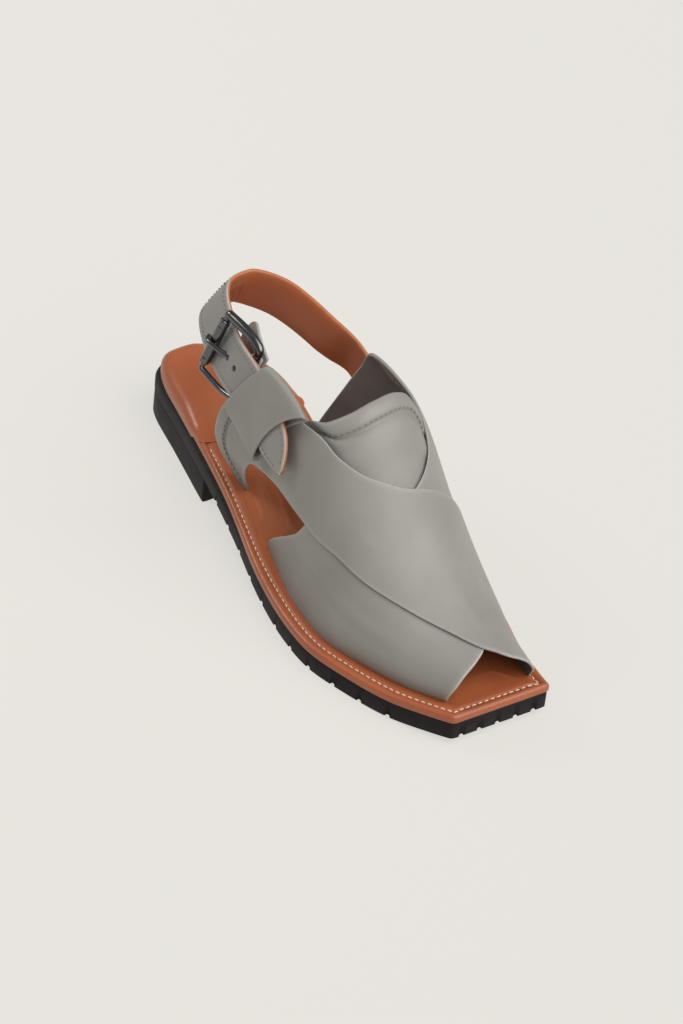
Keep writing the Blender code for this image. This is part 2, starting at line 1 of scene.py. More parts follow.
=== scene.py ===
# %% [markdown]
# # A peshawari chappal in leather
#
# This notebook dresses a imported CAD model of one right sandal. The CAD model says how large every piece is
# and where it sits. Here each piece is made again as a fine mesh with the finish of the real one: smooth grey
# upper leather, polished tan leather, black rubber and dark metal. Lengths are in metres, +X points to the
# toe, +Y to the foot's inner side and +Z up.

import math

import bmesh
import bpy
import numpy as np
from mathutils import Matrix, Vector


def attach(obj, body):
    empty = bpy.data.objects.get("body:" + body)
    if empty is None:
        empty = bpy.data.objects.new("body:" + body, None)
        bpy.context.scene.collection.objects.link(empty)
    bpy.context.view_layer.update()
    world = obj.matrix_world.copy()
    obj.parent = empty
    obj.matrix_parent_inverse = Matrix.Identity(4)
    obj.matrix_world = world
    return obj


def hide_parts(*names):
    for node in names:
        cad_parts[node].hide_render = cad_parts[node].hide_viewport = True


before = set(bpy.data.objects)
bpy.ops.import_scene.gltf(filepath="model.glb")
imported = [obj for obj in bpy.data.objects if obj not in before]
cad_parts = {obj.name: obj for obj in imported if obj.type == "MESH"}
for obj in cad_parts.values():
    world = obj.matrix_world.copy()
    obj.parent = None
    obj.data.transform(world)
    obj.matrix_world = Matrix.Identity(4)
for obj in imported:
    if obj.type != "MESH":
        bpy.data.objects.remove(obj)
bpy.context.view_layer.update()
print("nodes in the frame:", sorted(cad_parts))

# %% [markdown]
# ## Sizes
#
# The sole's length and the ball's width drive the rest, as on a shoemaker's pattern. The named sizes are the
# same as in the CAD, so every fine mesh lands where its solid is.

# %% Sole sizes
SOLE_LENGTH = 0.300
BALL_WIDTH = 0.102
RUBBER = 0.010
HEEL_LIFT = 0.0158
HEEL_LENGTH = 0.083
SLOPE_START = 0.070
SLOPE_END = 0.197
SPRING_START = 0.235
TOE_SPRING = 0.0046
MIDSOLE = 0.0045
MIDSOLE_OVERHANG = 0.0006
PAD_LENGTH = 0.072
PAD_DOME = 0.0018
GAP = 0.0003

# %% Upper sizes
INSTEP_HEIGHT = 0.101
LAST_INSET = 0.0118
TUCK_HEIGHT = 0.026
LINED_LEATHER = 0.0024
TONGUE_LEATHER = 0.0022
UNDER_STRAP_OFF = TONGUE_LEATHER + 2 * GAP
CROSSING_RISE = 0.0018
RIM_PADDING = 0.0026

# %% Slingback sizes
BAND_WIDTH = 0.024
BAND_LEATHER = 0.0022
CHAPE_LEATHER = 0.0016
CHAPE_WIDTH = 0.0215
UNDERLAY_LEATHER = 0.0016
BUCKLE_WIRE = 0.0034
BUCKLE_LENGTH = 0.0265
BUCKLE_INSIDE = 0.0265
ROLLER_RADIUS = 0.0028
ROLLER_GAP = 0.0010
PRONG_WIRE = 0.0024
HOLE_RADIUS = 0.0017
HOLE_PITCH = 0.0085
KEEPER_LEATHER = 0.0016

# %% [markdown]
# ## The shoe's guiding shapes
#
# A shoemaker starts from an outline on paper and from a last, the wooden foot. Both are short tables here,
# in shares of the sole's length and the ball's width. A smooth curve runs through their rows, so a few
# numbers give the whole shape, and NumPy works out thousands of points on it at once.

# %% The outline and the last
CURVE_POINTS = 3000
# along, lateral and medial half widths, and how far the medial side leads
OUTLINE = (
    (0.000, -0.030, 0.060, 0.0),
    (0.005, -0.088, 0.118, 0.0),
    (0.020, -0.138, 0.184, 0.0),
    (0.047, -0.172, 0.258, 0.0),
    (0.083, -0.198, 0.320, 0.0),
    (0.133, -0.229, 0.363, 0.0),
    (0.200, -0.275, 0.376, 0.0),
    (0.267, -0.321, 0.341, 0.0),
    (0.350, -0.373, 0.290, 0.0),
    (0.433, -0.425, 0.294, 0.0),
    (0.533, -0.497, 0.353, 0.0),
    (0.633, -0.545, 0.412, 0.0),
    (0.717, -0.557, 0.441, 0.0),
    (0.800, -0.500, 0.422, 0.0),
    (0.883, -0.422, 0.349, 0.0),
    (0.950, -0.322, 0.304, 0.003),
    (0.988, -0.260, 0.280, 0.012),
)
# along, ridge, lateral, medial, height, lateral squareness, medial squareness
LAST = (
    (0.233, 0.020, 0.275, 0.275, 0.78, 2.3, 4.0),
    (0.300, 0.020, 0.275, 0.275, 0.82, 2.3, 4.0),
    (0.400, 0.020, 0.295, 0.284, 0.91, 2.4, 4.0),
    (0.500, 0.020, 0.345, 0.304, 1.00, 2.4, 3.2),
    (0.583, 0.020, 0.382, 0.353, 0.96, 2.2, 2.5),
    (0.667, 0.000, 0.412, 0.373, 0.72, 2.0, 2.1),
    (0.750, -0.020, 0.412, 0.363, 0.50, 1.9, 1.9),
    (0.833, -0.020, 0.373, 0.308, 0.35, 1.9, 1.8),
    (0.907, 0.000, 0.304, 0.236, 0.25, 1.9, 1.6),
    (1.000, 0.010, 0.216, 0.172, 0.18, 2.0, 1.5),
)
# along, and how much further in the lateral and the medial side of the straps stand there
TUCK = (
    (0.280, 0.0000, 0.0000),
    (0.370, 0.0060, 0.0000),
    (0.420, 0.0050, 0.0000),
    (0.480, 0.0042, 0.0000),
    (0.600, 0.0020, 0.0000),
    (0.750, 0.0020, 0.0000),
    (0.900, 0.0038, -0.0010),
    (1.000, 0.0040, -0.0019),
)


def catmull(table, place):
    """Rows of the table at fractional places, on a smooth curve through its rows."""
    rows = np.asarray(table, float)
    place = np.clip(np.asarray(place, float), 0, len(rows) - 1)
    low = np.minimum(place.astype(int), len(rows) - 2)
    t = (place - low)[..., None]
    ends = np.vstack([2 * rows[0] - rows[1], rows, 2 * rows[-1] - rows[-2]])
    p0, p1, p2, p3 = (ends[low + k] for k in range(4))
    square = (2 * p0 - 5 * p1 + 4 * p2 - p3) * t**2
    cube = (3 * p1 - p0 - 3 * p2 + p3) * t**3
    return 0.5 * (2 * p1 + (p2 - p0) * t + square + cube)


def densely(table):
    return catmull(table, np.linspace(0, len(table) - 1, CURVE_POINTS))


OUTLINE_CURVE = densely(OUTLINE)
LAST_CURVE = densely(LAST)


def row_at(curve, along):
    """The curve's other columns where its first column is along."""
    return [np.interp(along, curve[:, 0], curve[:, k]) for k in range(1, curve.shape[1])]


def smooth(value):
    """Eases from 0 to 1, and stays there."""
    value = np.clip(value, 0.0, 1.0)
    return value * value * (3 - 2 * value)


print("rows:", len(OUTLINE), "in the outline,", len(LAST), "in the last")


# %% Heights of the sole's layers
def rubber_top(x):
    slope = smooth((x - SLOPE_START) / (SLOPE_END - SLOPE_START))
    spring = np.maximum(x - SPRING_START, 0.0) / (SOLE_LENGTH - SPRING_START)
    return RUBBER + HEEL_LIFT * (1 - slope) + TOE_SPRING * spring**2


def midsole_top(x):
    return rubber_top(x) + GAP + MIDSOLE


def outline_side(place, side, inset=0.0):
    """Points of the lateral (-1) or medial (1) side at rows of the outline, moved in by inset."""
    here = catmull(OUTLINE, place)
    slope = catmull(OUTLINE, np.asarray(place) + 0.02) - catmull(OUTLINE, np.asarray(place) - 0.02)
    column = 1 if side < 0 else 2
    step = slope[..., 0] * SOLE_LENGTH
    across = np.abs(step) / np.hypot(step, slope[..., column] * BALL_WIDTH)
    lead = here[..., 3] if side > 0 else 0.0
    shrink = (SOLE_LENGTH - 2 * inset) / SOLE_LENGTH
    x = SOLE_LENGTH * (0.5 + (here[..., 0] + lead - 0.5) * shrink)
    return np.stack([x, here[..., column] * BALL_WIDTH - side * inset * across], -1)


ALL_ROWS = np.arange(8 * (len(OUTLINE) - 1) + 1) / 8
EDGE_POINTS = np.vstack([outline_side(ALL_ROWS, -1), outline_side(ALL_ROWS, 1)])
CENTRE = (EDGE_POINTS.min(0) + EDGE_POINTS.max(0)) / 2


def placed(points):
    """From the foot's axis, measured from the heel's back, to the part's own frame."""
    return np.asarray(points) - np.array([CENTRE[0], CENTRE[1], 0.0])


print("outline centre:", CENTRE.round(4))


# %% Points on the last
CROWN_START = 0.38
CROWN_BLEND = 0.24


def last_point(along, around, off):
    """Points from the lateral (0) to the medial (1) side of the sole, off from the last's surface."""
    along, around, off = np.broadcast_arrays(along, around, off)
    ridge, lateral, medial, height, lateral_square, medial_square = row_at(LAST_CURVE, along)
    edge_lateral, edge_medial, _ = row_at(OUTLINE_CURVE, along)
    around = np.clip(around, 0.0, 1.0)
    angle = np.pi * (1 - around)
    side = np.where(around < 0.5, -1.0, 1.0)
    blend = smooth((around - CROWN_START) / CROWN_BLEND)
    square = lateral_square * (1 - blend) + medial_square * blend
    half = np.where(side < 0, lateral, medial) * BALL_WIDTH + off
    cos, sin = np.cos(angle), np.maximum(np.sin(angle), 0.0)
    y = ridge * BALL_WIDTH + half * np.sign(cos) * np.abs(cos) ** (2 / square)
    up = (height * INSTEP_HEIGHT + off) * sin ** (2 / square)
    tuck_lateral, tuck_medial = row_at(np.array(TUCK), along)
    inset = LAST_INSET - off + np.where(side < 0, tuck_lateral, tuck_medial)
    base = np.where(side < 0, edge_lateral, edge_medial) * BALL_WIDTH - side * inset
    tuck = 1 - np.minimum(up / TUCK_HEIGHT, 1.0)
    y = y + (base - ridge * BALL_WIDTH - side * half) * tuck**2
    x = along * SOLE_LENGTH
    return np.stack([x, y, midsole_top(x) + GAP + up], -1)


def strap_point(table, u, v, off):
    """Points of a strap, u along it and v from its rear to its front edge."""
    edges = np.moveaxis(catmull(table, u * (len(table) - 1)), -1, 0)
    rear_along, rear_around, front_along, front_around = edges
    along = rear_along + (front_along - rear_along) * v
    around = rear_around + (front_around - rear_around) * v
    return last_point(along, around, off)


# %% [markdown]
# ## Helpers for meshes
#
# Every piece starts as rings or grids of points that NumPy works out, which keeps full control of creases
# and stitch channels. Modifiers on a coarse cage would blur them. Each vertex keeps an "edge" value that the
# materials read for wear, and on the tan lining also for a painted highlight.

# %% Vectors and grids
def unit(vectors):
    return vectors / np.maximum(np.linalg.norm(vectors, axis=-1, keepdims=True), 1e-12)


def arc_lengths(grid, axis):
    steps = np.linalg.norm(np.diff(grid, axis=axis), axis=-1)
    start = np.zeros_like(np.take(steps, [0], axis=axis))
    return np.cumsum(np.concatenate([start, steps], axis=axis), axis=axis)


def edge_distances(grid):
    """Distance of each point from the sheet's four edges: u = 0, u = 1, v = 0 and v = 1."""
    along_u = arc_lengths(grid, 0)
    along_v = arc_lengths(grid, 1)
    return along_u, along_u[-1:] - along_u, along_v, along_v[:, -1:] - along_v


def sheet_normals(outer, inner):
    du = np.gradient(outer, axis=0)
    dv = np.gradient(outer, axis=1)
    normal = unit(np.cross(du, dv))
    facing = np.sum(normal * (outer - inner), axis=-1, keepdims=True)
    return normal * np.where(facing < 0, -1.0, 1.0)


# %% New objects
def linked(name, data):
    made = bpy.data.objects.new(name, data)
    bpy.context.scene.collection.objects.link(made)
    return made


def object_from(form, name):
    """A new object with the shape of a bmesh."""
    mesh = bpy.data.meshes.new(name)
    form.to_mesh(mesh)
    form.free()
    return linked(name, mesh)


def new_piece(name, points, faces, paints, slots=None, wear=None, merge=0.0):
    """A closed mesh with its faces turned outward; points nearer than merge become one."""
    mesh = bpy.data.meshes.new(name)
    mesh.from_pydata([tuple(p) for p in placed(points)], [], faces)
    for paint in paints:
        mesh.materials.append(paint)
    if slots is not None:
        mesh.polygons.foreach_set("material_index", np.asarray(slots, np.int32))
    if wear is not None:
        field = mesh.attributes.new("edge", "FLOAT", "POINT")
        field.data.foreach_set("value", np.asarray(wear, np.float32))
    form = bmesh.new()
    form.from_mesh(mesh)
    if merge:
        bmesh.ops.remove_doubles(form, verts=form.verts, dist=merge)
    bmesh.ops.recalc_face_normals(form, faces=form.faces)
    if form.calc_volume(signed=True) < 0:
        bmesh.ops.reverse_faces(form, faces=form.faces)
    form.to_mesh(mesh)
    form.free()
    mesh.shade_smooth()
    return linked(name, mesh)


def ring_faces(count, sides, closed=False):
    """Quads between rings that follow one another, the last back to the first where closed."""
    faces = []
    for k in range(count if closed else count - 1):
        here = k * sides
        following = (k + 1) % count * sides
        for s in range(sides):
            after = (s + 1) % sides
            faces.append((here + s, here + after, following + after, following + s))
    return faces


def end_faces(count, sides):
    """The flat ends of an open run of rings."""
    return [tuple(range(sides - 1, -1, -1)), tuple((count - 1) * sides + s for s in range(sides))]


def settle(piece, slot, *nodes):
    """The piece rides on the shoe's one body and stands for its CAD nodes; slot is not used."""
    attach(piece, "root")
    if nodes:
        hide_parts(*nodes)
    print(piece.name, "has", len(piece.data.polygons), "faces")
    return piece


# %% [markdown]
# ## Sheets of leather
#
# A sheet is two grids, its outer and its inner face. A cut edge joins them, a little rounded as a real one is
# after it has been rubbed down, so it catches a thin line of light. The edge has its own material slot.

# %% Leather sheet
WEAR_WIDTH = 0.0016


def border_of(count_u, count_v):
    """The grid's outermost places, once round."""
    border = [(i, 0) for i in range(count_u)]
    border += [(count_u - 1, j) for j in range(1, count_v)]
    border += [(i, count_v - 1) for i in range(count_u - 2, -1, -1)]
    border += [(0, j) for j in range(count_v - 2, 0, -1)]
    return np.array(border).T


def leather_sheet(name, outer, inner, paints, bulge=0.4, steps=5, lining=None, edge_share=1.0):
    """paints: outer face, edge and lining. lining picks the slot of each inner face."""
    count_u, count_v = outer.shape[:2]
    index = np.arange(count_u * count_v).reshape(count_u, count_v)
    corners = [index[:-1, :-1], index[1:, :-1], index[1:, 1:], index[:-1, 1:]]
    quads = np.stack(corners, -1).reshape(-1, 4)
    rim_u, rim_v = border_of(count_u, count_v)
    around = len(rim_u)
    near_u = np.clip(rim_u, 1, count_u - 2)
    near_v = np.clip(rim_v, 1, count_v - 2)
    top = outer[rim_u, rim_v]
    low = inner[rim_u, rim_v]
    rim_middle = (top + low) / 2
    outward = unit(rim_middle - (outer[near_u, near_v] + inner[near_u, near_v]) / 2)
    thick = np.linalg.norm(top - low, axis=-1, keepdims=True)
    total = index.size
    rings = [index[rim_u, rim_v]]
    points = [outer.reshape(-1, 3), inner.reshape(-1, 3)]
    for k in range(1, steps):
        angle = math.pi * k / steps
        swell = outward * thick * bulge * math.sin(angle)
        rings.append(np.arange(around) + 2 * total + (k - 1) * around)
        points.append(rim_middle + (top - low) / 2 * math.cos(angle) + swell)
    rings.append(index[rim_u, rim_v] + total)
    faces = quads.tolist() + (quads[:, ::-1] + total).tolist()
    inner_slot = np.full(len(quads), 2) if lining is None else lining.reshape(-1)
    slots = [0] * len(quads) + inner_slot.tolist()
    for k, (first, second) in enumerate(zip(rings, rings[1:])):
        edge = np.stack([first, np.roll(first, -1), np.roll(second, -1), second], -1)
        faces += edge.tolist()
        slots += [1 if k < edge_share * steps else 2] * around
    # edge values for the edge colour: wear, and on the tan lining partly a painted highlight
    nearest = np.minimum.reduce(edge_distances(outer))
    wear = np.exp(-((nearest / WEAR_WIDTH) ** 2)).reshape(-1)
    wear_and_highlight = np.concatenate([wear, wear * 0.5, np.ones((steps - 1) * around)])
    return new_piece(name, np.vstack(points), faces, paints, slots, wear_and_highlight)


# %% [markdown]
# ## Stitches
#
# A stitch is a short bowed length of thread that dips into the leather at both ends. One small mesh is shaped
# for it and copied along a line that runs at a set distance from an edge, then all the copies are joined.
# That keeps a whole row as a single light piece. Each stitch is turned a little at random, as sewn ones are.

# %% Stitch rows
rng = np.random.default_rng(7)
STITCH_TURN = 0.05
LOOK_ALONG = 0.0005


def row_beside(grid, normals, distance, axis, from_end=False, first=0.0, last=1.0):
    """A line on the sheet at a distance from a v edge (axis 1) or a u edge (axis 0)."""
    lengths = arc_lengths(grid, axis)
    if from_end:
        total = np.take(lengths, [-1], axis=axis)
        lengths = np.flip(total - lengths, axis)
        grid = np.flip(grid, axis)
        normals = np.flip(normals, axis)
    count = grid.shape[1 - axis]
    line = []
    up = []
    for k in range(round(first * (count - 1)), round(last * (count - 1)) + 1):
        reach = lengths[k] if axis else lengths[:, k]
        spots = grid[k] if axis else grid[:, k]
        faces = normals[k] if axis else normals[:, k]
        line.append([np.interp(distance, reach, spots[:, c]) for c in range(3)])
        up.append([np.interp(distance, reach, faces[:, c]) for c in range(3)])
    return np.array(line), unit(np.array(up))


def stitch_shape(length, thread, rounds=7, sides=8):
    """One stitch about its middle: x along it, z up."""
    rings = []
    for t in np.linspace(-1, 1, rounds):
        radius = thread / 2 * max(0.25, 1 - abs(t) ** 4)
        angles = np.arange(sides) * 2 * math.pi / sides
        lift = thread * (0.22 - 0.55 * abs(t) ** 3)
        x = np.full(sides, t * length / 2)
        rings.append(np.stack([x, np.cos(angles) * radius, np.sin(angles) * radius + lift], -1))
    return np.vstack(rings), ring_faces(rounds, sides) + end_faces(rounds, sides)


def along_line(values, reach, spot):
    """The values of a line at a spot along it."""
    return np.array([np.interp(spot, reach, values[:, c]) for c in range(3)])


def stitch_row(name, line, up, pitch, thread, paint, share=0.72):
    """Stitches along one line, or along several lines given as a list."""
    lines = line if isinstance(line, list) else [line]
    ups = up if isinstance(up, list) else [up]
    shape, shape_faces = stitch_shape(pitch * share, thread)
    points = []
    faces = []
    for path, normal in zip(lines, ups):
        reach = np.concatenate([[0], np.cumsum(np.linalg.norm(np.diff(path, axis=0), axis=1))])
        count = max(1, round(reach[-1] / pitch))
        for k in range(count):
            spot = (k + 0.5) * reach[-1] / count
            here = along_line(path, reach, spot)
            ahead = along_line(path, reach, spot + LOOK_ALONG)
            behind = along_line(path, reach, spot - LOOK_ALONG)
            face = unit(along_line(normal, reach, spot))
            straight = unit(ahead - behind)
            beside = unit(np.cross(face, straight))
            turn = rng.normal(0.0, STITCH_TURN)
            forward = straight * math.cos(turn) + beside * math.sin(turn)
            side = beside * math.cos(turn) - straight * math.sin(turn)
            start = len(points) * len(shape)
            points.append(here + shape @ np.stack([forward, side, np.cross(forward, side)]))
            faces += [tuple(start + c for c in f) for f in shape_faces]
    made = new_piece(name, np.vstack(points), faces, [paint])
    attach(made, "root")
    print(name, "holds", len(points), "stitches")
    return made


# %% [markdown]
# ## Materials
#
# Leather looks real through three scales of change: pores a fraction of a millimetre wide, tone that drifts
# over centimetres, and edges that are handled and so a little lighter or darker. Each is a node group that
# several materials share, so one good effect is built once and tuned by numbers. On the tan lining the
# lighter edge is partly a painted highlight of its padded rim.

# %% Helpers for shader nodes
def group(name, inputs, outputs):
    made = bpy.data.node_groups.new(name, "ShaderNodeTree")
    for label, value in inputs:
        socket = made.interface.new_socket(label, in_out="INPUT", socket_type="NodeSocketFloat")
        socket.default_value = value
    for label, kind in outputs:
        made.interface.new_socket(label, in_out="OUTPUT", socket_type=kind)
    return made, made.nodes.new("NodeGroupInput"), made.nodes.new("NodeGroupOutput")


def math_node(tree, operation, first, second, clamp=False):
    node = tree.nodes.new("ShaderNodeMath")
    node.operation = operation
    node.use_clamp = clamp
    for socket, value in zip(node.inputs, (first, second)):
        if isinstance(value, (int, float)):
            socket.default_value = value
        else:
            tree.links.new(value, socket)
    return node.outputs[0]


def object_place(tree):
    return tree.nodes.new("ShaderNodeTexCoord").outputs["Object"]


def noise_node(tree, vector, scale, detail=3.0, roughness=0.55):
    node = tree.nodes.new("ShaderNodeTexNoise")
    node.inputs["Detail"].default_value = detail
    node.inputs["Roughness"].default_value = roughness
    tree.links.new(vector, node.inputs["Vector"])
    if isinstance(scale, (int, float)):
        node.inputs["Scale"].default_value = scale
    else:
        tree.links.new(scale, node.inputs["Scale"])
    return node.outputs["Fac"]


# %% Leather grain group
def leather_grain_group():
    """Pores and fine wrinkles as a height, and slow drifts of tone."""
    made, given, result = group(
        "leather grain",
        (("Pores per metre", 1500.0), ("Wrinkle share", 0.3), ("Tone per metre", 30.0)),
        (("Height", "NodeSocketFloat"), ("Tone", "NodeSocketFloat")),
    )
    place = object_place(made)
    pores = made.nodes.new("ShaderNodeTexVoronoi")
    pores.feature = "DISTANCE_TO_EDGE"
    made.links.new(place, pores.inputs["Vector"])
    made.links.new(given.outputs["Pores per metre"], pores.inputs["Scale"])
    cells = math_node(made, "MINIMUM", math_node(made, "MULTIPLY", pores.outputs["Distance"], 3.0), 1.0)
    fine_scale = math_node(made, "MULTIPLY", given.outputs["Pores per metre"], 0.22)
    fine = noise_node(made, place, fine_scale, 4.0, 0.6)
    wrinkles = math_node(made, "MULTIPLY", fine, given.outputs["Wrinkle share"])
    made.links.new(math_node(made, "ADD", cells, wrinkles), result.inputs["Height"])
    drift = noise_node(made, place, given.outputs["Tone per metre"], 3.0, 0.5)
    spread = made.nodes.new("ShaderNodeMapRange")
    spread.inputs["From Min"].default_value = 0.3
    spread.inputs["From Max"].default_value = 0.7
    made.links.new(drift, spread.inputs["Value"])
    made.links.new(spread.outputs["Result"], result.inputs["Tone"])
    return made


# %% Edge wear group
def edge_wear_group():
    """A mask along a sheet's edges, broken up by noise."""
    made, given, result = group(
        "edge wear",
        (("Amount", 0.5), ("Breaks per metre", 300.0)),
        (("Mask", "NodeSocketFloat"),),
    )
    field = made.nodes.new("ShaderNodeAttribute")
    field.attribute_name = "edge"
    place = object_place(made)
    breaks = noise_node(made, place, given.outputs["Breaks per metre"], 2.0)
    uneven = math_node(made, "MULTIPLY", field.outputs["Fac"], math_node(made, "ADD", breaks, 0.4))
    mask = math_node(made, "MULTIPLY", uneven, given.outputs["Amount"], clamp=True)
    made.links.new(mask, result.inputs["Mask"])
    return made


LEATHER_GRAIN = leather_grain_group()
EDGE_WEAR = edge_wear_group()
print("node groups:", LEATHER_GRAIN.name, "and", EDGE_WEAR.name)


# %% Material helpers
def use_group(tree, kind, **values):
    node = tree.nodes.new("ShaderNodeGroup")
    node.node_tree = kind
    for label, value in values.items():
        node.inputs[label.replace("_", " ")].default_value = value
    return node


def mixed(tree, factor, first, second):
    node = tree.nodes.new("ShaderNodeMix")
    node.data_type = "RGBA"
    tree.links.new(factor, node.inputs["Factor"])
    for label, value in ((6, first), (7, second)):
        if isinstance(value, tuple):
            node.inputs[label].default_value = (*value, 1.0)
        else:
            tree.links.new(value, node.inputs[label])
    return node.outputs[2]


def ranged(tree, value, low, high):
    node = tree.nodes.new("ShaderNodeMapRange")
    node.inputs["To Min"].default_value = low
    node.inputs["To Max"].default_value = high
    tree.links.new(value, node.inputs["Value"])
    return node.outputs["Result"]


def new_material(name, **constants):
    made = bpy.data.materials.new(name)
    made.use_nodes = True
    shader = made.node_tree.nodes["Principled BSDF"]
    for label, value in constants.items():
        shader.inputs[label.replace("_", " ")].default_value = value
    return made, made.node_tree, shader


def bumped(tree, shader, height, strength, distance):
    node = tree.nodes.new("ShaderNodeBump")
    node.inputs["Strength"].default_value = strength
    node.inputs["Distance"].default_value = distance
    tree.links.new(height, node.inputs["Height"])
    tree.links.new(node.outputs["Normal"], shader.inputs["Normal"])


def coloured(tree, shader, colour, value, roughness):
    """Links a colour, and a roughness that follows a value between two limits."""
    tree.links.new(colour, shader.inputs["Base Color"])
    tree.links.new(ranged(tree, value, *roughness), shader.inputs["Roughness"])


# %% Leather material
COAT_ROUGHNESS = 0.18
LEATHER_SHINE = 0.45
PORE_DEPTH = 0.00012


def leather(name, light, dark, wear_and_highlight, roughness, pores=1500.0, tone=30.0, strength=0.12, coat=0.0):
    """A leather whose colour drifts between light and dark, with its edges towards a third colour: wear, and
    on the tan lining partly a painted highlight.
    """
    made, tree, shader = new_material(
        name, Coat_Weight=coat, Coat_Roughness=COAT_ROUGHNESS, Specular_IOR_Level=LEATHER_SHINE
    )
    grain = use_group(tree, LEATHER_GRAIN, Pores_per_metre=pores, Tone_per_metre=tone)
    edge = use_group(tree, EDGE_WEAR, Amount=0.5)
    colour = mixed(tree, grain.outputs["Tone"], light, dark)
    # edges go towards the third colour: wear, and on the tan lining partly a painted highlight
    colour = mixed(tree, edge.outputs["Mask"], colour, wear_and_highlight)
    coloured(tree, shader, colour, grain.outputs["Tone"], roughness)
    bumped(tree, shader, grain.outputs["Height"], strength, PORE_DEPTH)
    return made


# %% Leathers
# each: light, dark and edge colour (wear; on the tan lining partly a painted highlight), then its smoothest
# and its roughest
GREY_LEATHER = leather(
    "grey_leather", (0.262, 0.253, 0.228), (0.232, 0.224, 0.200), (0.33, 0.32, 0.295), (0.42, 0.50)
)
GREY_EDGE = leather("grey_cut_edge", (0.36, 0.34, 0.31), (0.26, 0.245, 0.22), (0.42, 0.40, 0.37), (0.45, 0.6))
GREY_LINING = leather(
    "dark_grey_lining", (0.150, 0.143, 0.135), (0.120, 0.114, 0.107), (0.19, 0.18, 0.17), (0.6, 0.75),
    strength=0.3,
)
TAN_LEATHER = leather(
    "tan_leather", (0.430, 0.125, 0.043), (0.335, 0.086, 0.030), (0.30, 0.075, 0.027), (0.30, 0.42),
    pores=1300.0, tone=22.0, strength=0.10, coat=0.10,
)
# the edge colour, a light orange, is partly edge wear and partly a painted highlight of the padded rim
TAN_LINING = leather(
    "tan_lining", (0.330, 0.087, 0.030), (0.350, 0.090, 0.030), (0.52, 0.18, 0.065), (0.42, 0.56),
    pores=1100.0, tone=35.0, strength=0.22,
)
print("leathers:", [m.name for m in bpy.data.materials if "le" in m.name])


# %% Thread, rubber and metal
def thread_material(name, light, dark):
    made, tree, shader = new_material(name, Roughness=0.75, Sheen_Weight=0.2)
    place = object_place(tree)
    colour = mixed(tree, noise_node(tree, place, 900.0, 2.0), dark, light)
    tree.links.new(colour, shader.inputs["Base Color"])
    bumped(tree, shader, noise_node(tree, place, 4000.0, 2.0), 0.4, 0.0001)
    return made


def rubber_material():
    made, tree, shader = new_material("rubber", Specular_IOR_Level=0.08)
    place = object_place(tree)
    edge = use_group(tree, EDGE_WEAR, Amount=0.6, Breaks_per_metre=160.0)
    cloud = noise_node(tree, place, 60.0, 5.0)
    colour = mixed(tree, cloud, (0.0085, 0.0068, 0.0064), (0.005, 0.0040, 0.0038))
    colour = mixed(tree, edge.outputs["Mask"], colour, (0.045, 0.040, 0.039))
    coloured(tree, shader, colour, cloud, (0.42, 0.62))
    bumped(tree, shader, noise_node(tree, place, 1800.0, 4.0, 0.7), 0.22, 0.0002)
    return made


def metal_material():
    made, tree, shader = new_material("gunmetal", Metallic=1.0)
    place = object_place(tree)
    cloud = noise_node(tree, place, 220.0, 4.0)
    edge = use_group(tree, EDGE_WEAR, Amount=0.5, Breaks_per_metre=500.0)
    colour = mixed(tree, cloud, (0.115, 0.113, 0.118), (0.165, 0.162, 0.165))
    colour = mixed(tree, edge.outputs["Mask"], colour, (0.38, 0.37, 0.36))
    coloured(tree, shader, colour, cloud, (0.16, 0.28))
    bumped(tree, shader, noise_node(tree, place, 1200.0, 3.0), 0.05, 0.0001)
    return made


CREAM_THREAD = thread_material("cream_thread", (0.86, 0.76, 0.62), (0.62, 0.50, 0.38))
GREY_THREAD = thread_material("grey_thread", (0.23, 0.22, 0.20), (0.14, 0.13, 0.12))
RUBBER_PAINT = rubber_material()
METAL = metal_material()
print("other finishes:", CREAM_THREAD.name, GREY_THREAD.name, RUBBER_PAINT.name, METAL.name)


# %% [markdown]
# ## The sole
#
# The sole is cut from flat stock, so each layer is the outline moved in by some distance and given a height.
# Rings that run round the outline, from the edge to a spine down the middle, make rounded edges, a stitch
# channel and soft ridges simple: each is a height that depends on the distance from the edge. Round the heel
# the loop is averaged with its neighbours many times, which rounds its back as a last's heel is round.

# %% Rings round the outline
ROW_COUNT = 230
LAST_ROW = len(OUTLINE) - 1
SPINE_START = 0.026
SPINE_END = 0.030
FRONT_POINTS = 42
HEEL_ROUND_END = 0.055
HEEL_ROUND_RUN = 0.030


def averaged(loop, passes):
    for _ in range(passes):
        loop = (np.roll(loop, 1, 0) + 2 * loop + np.roll(loop, -1, 0)) / 4
    return loop


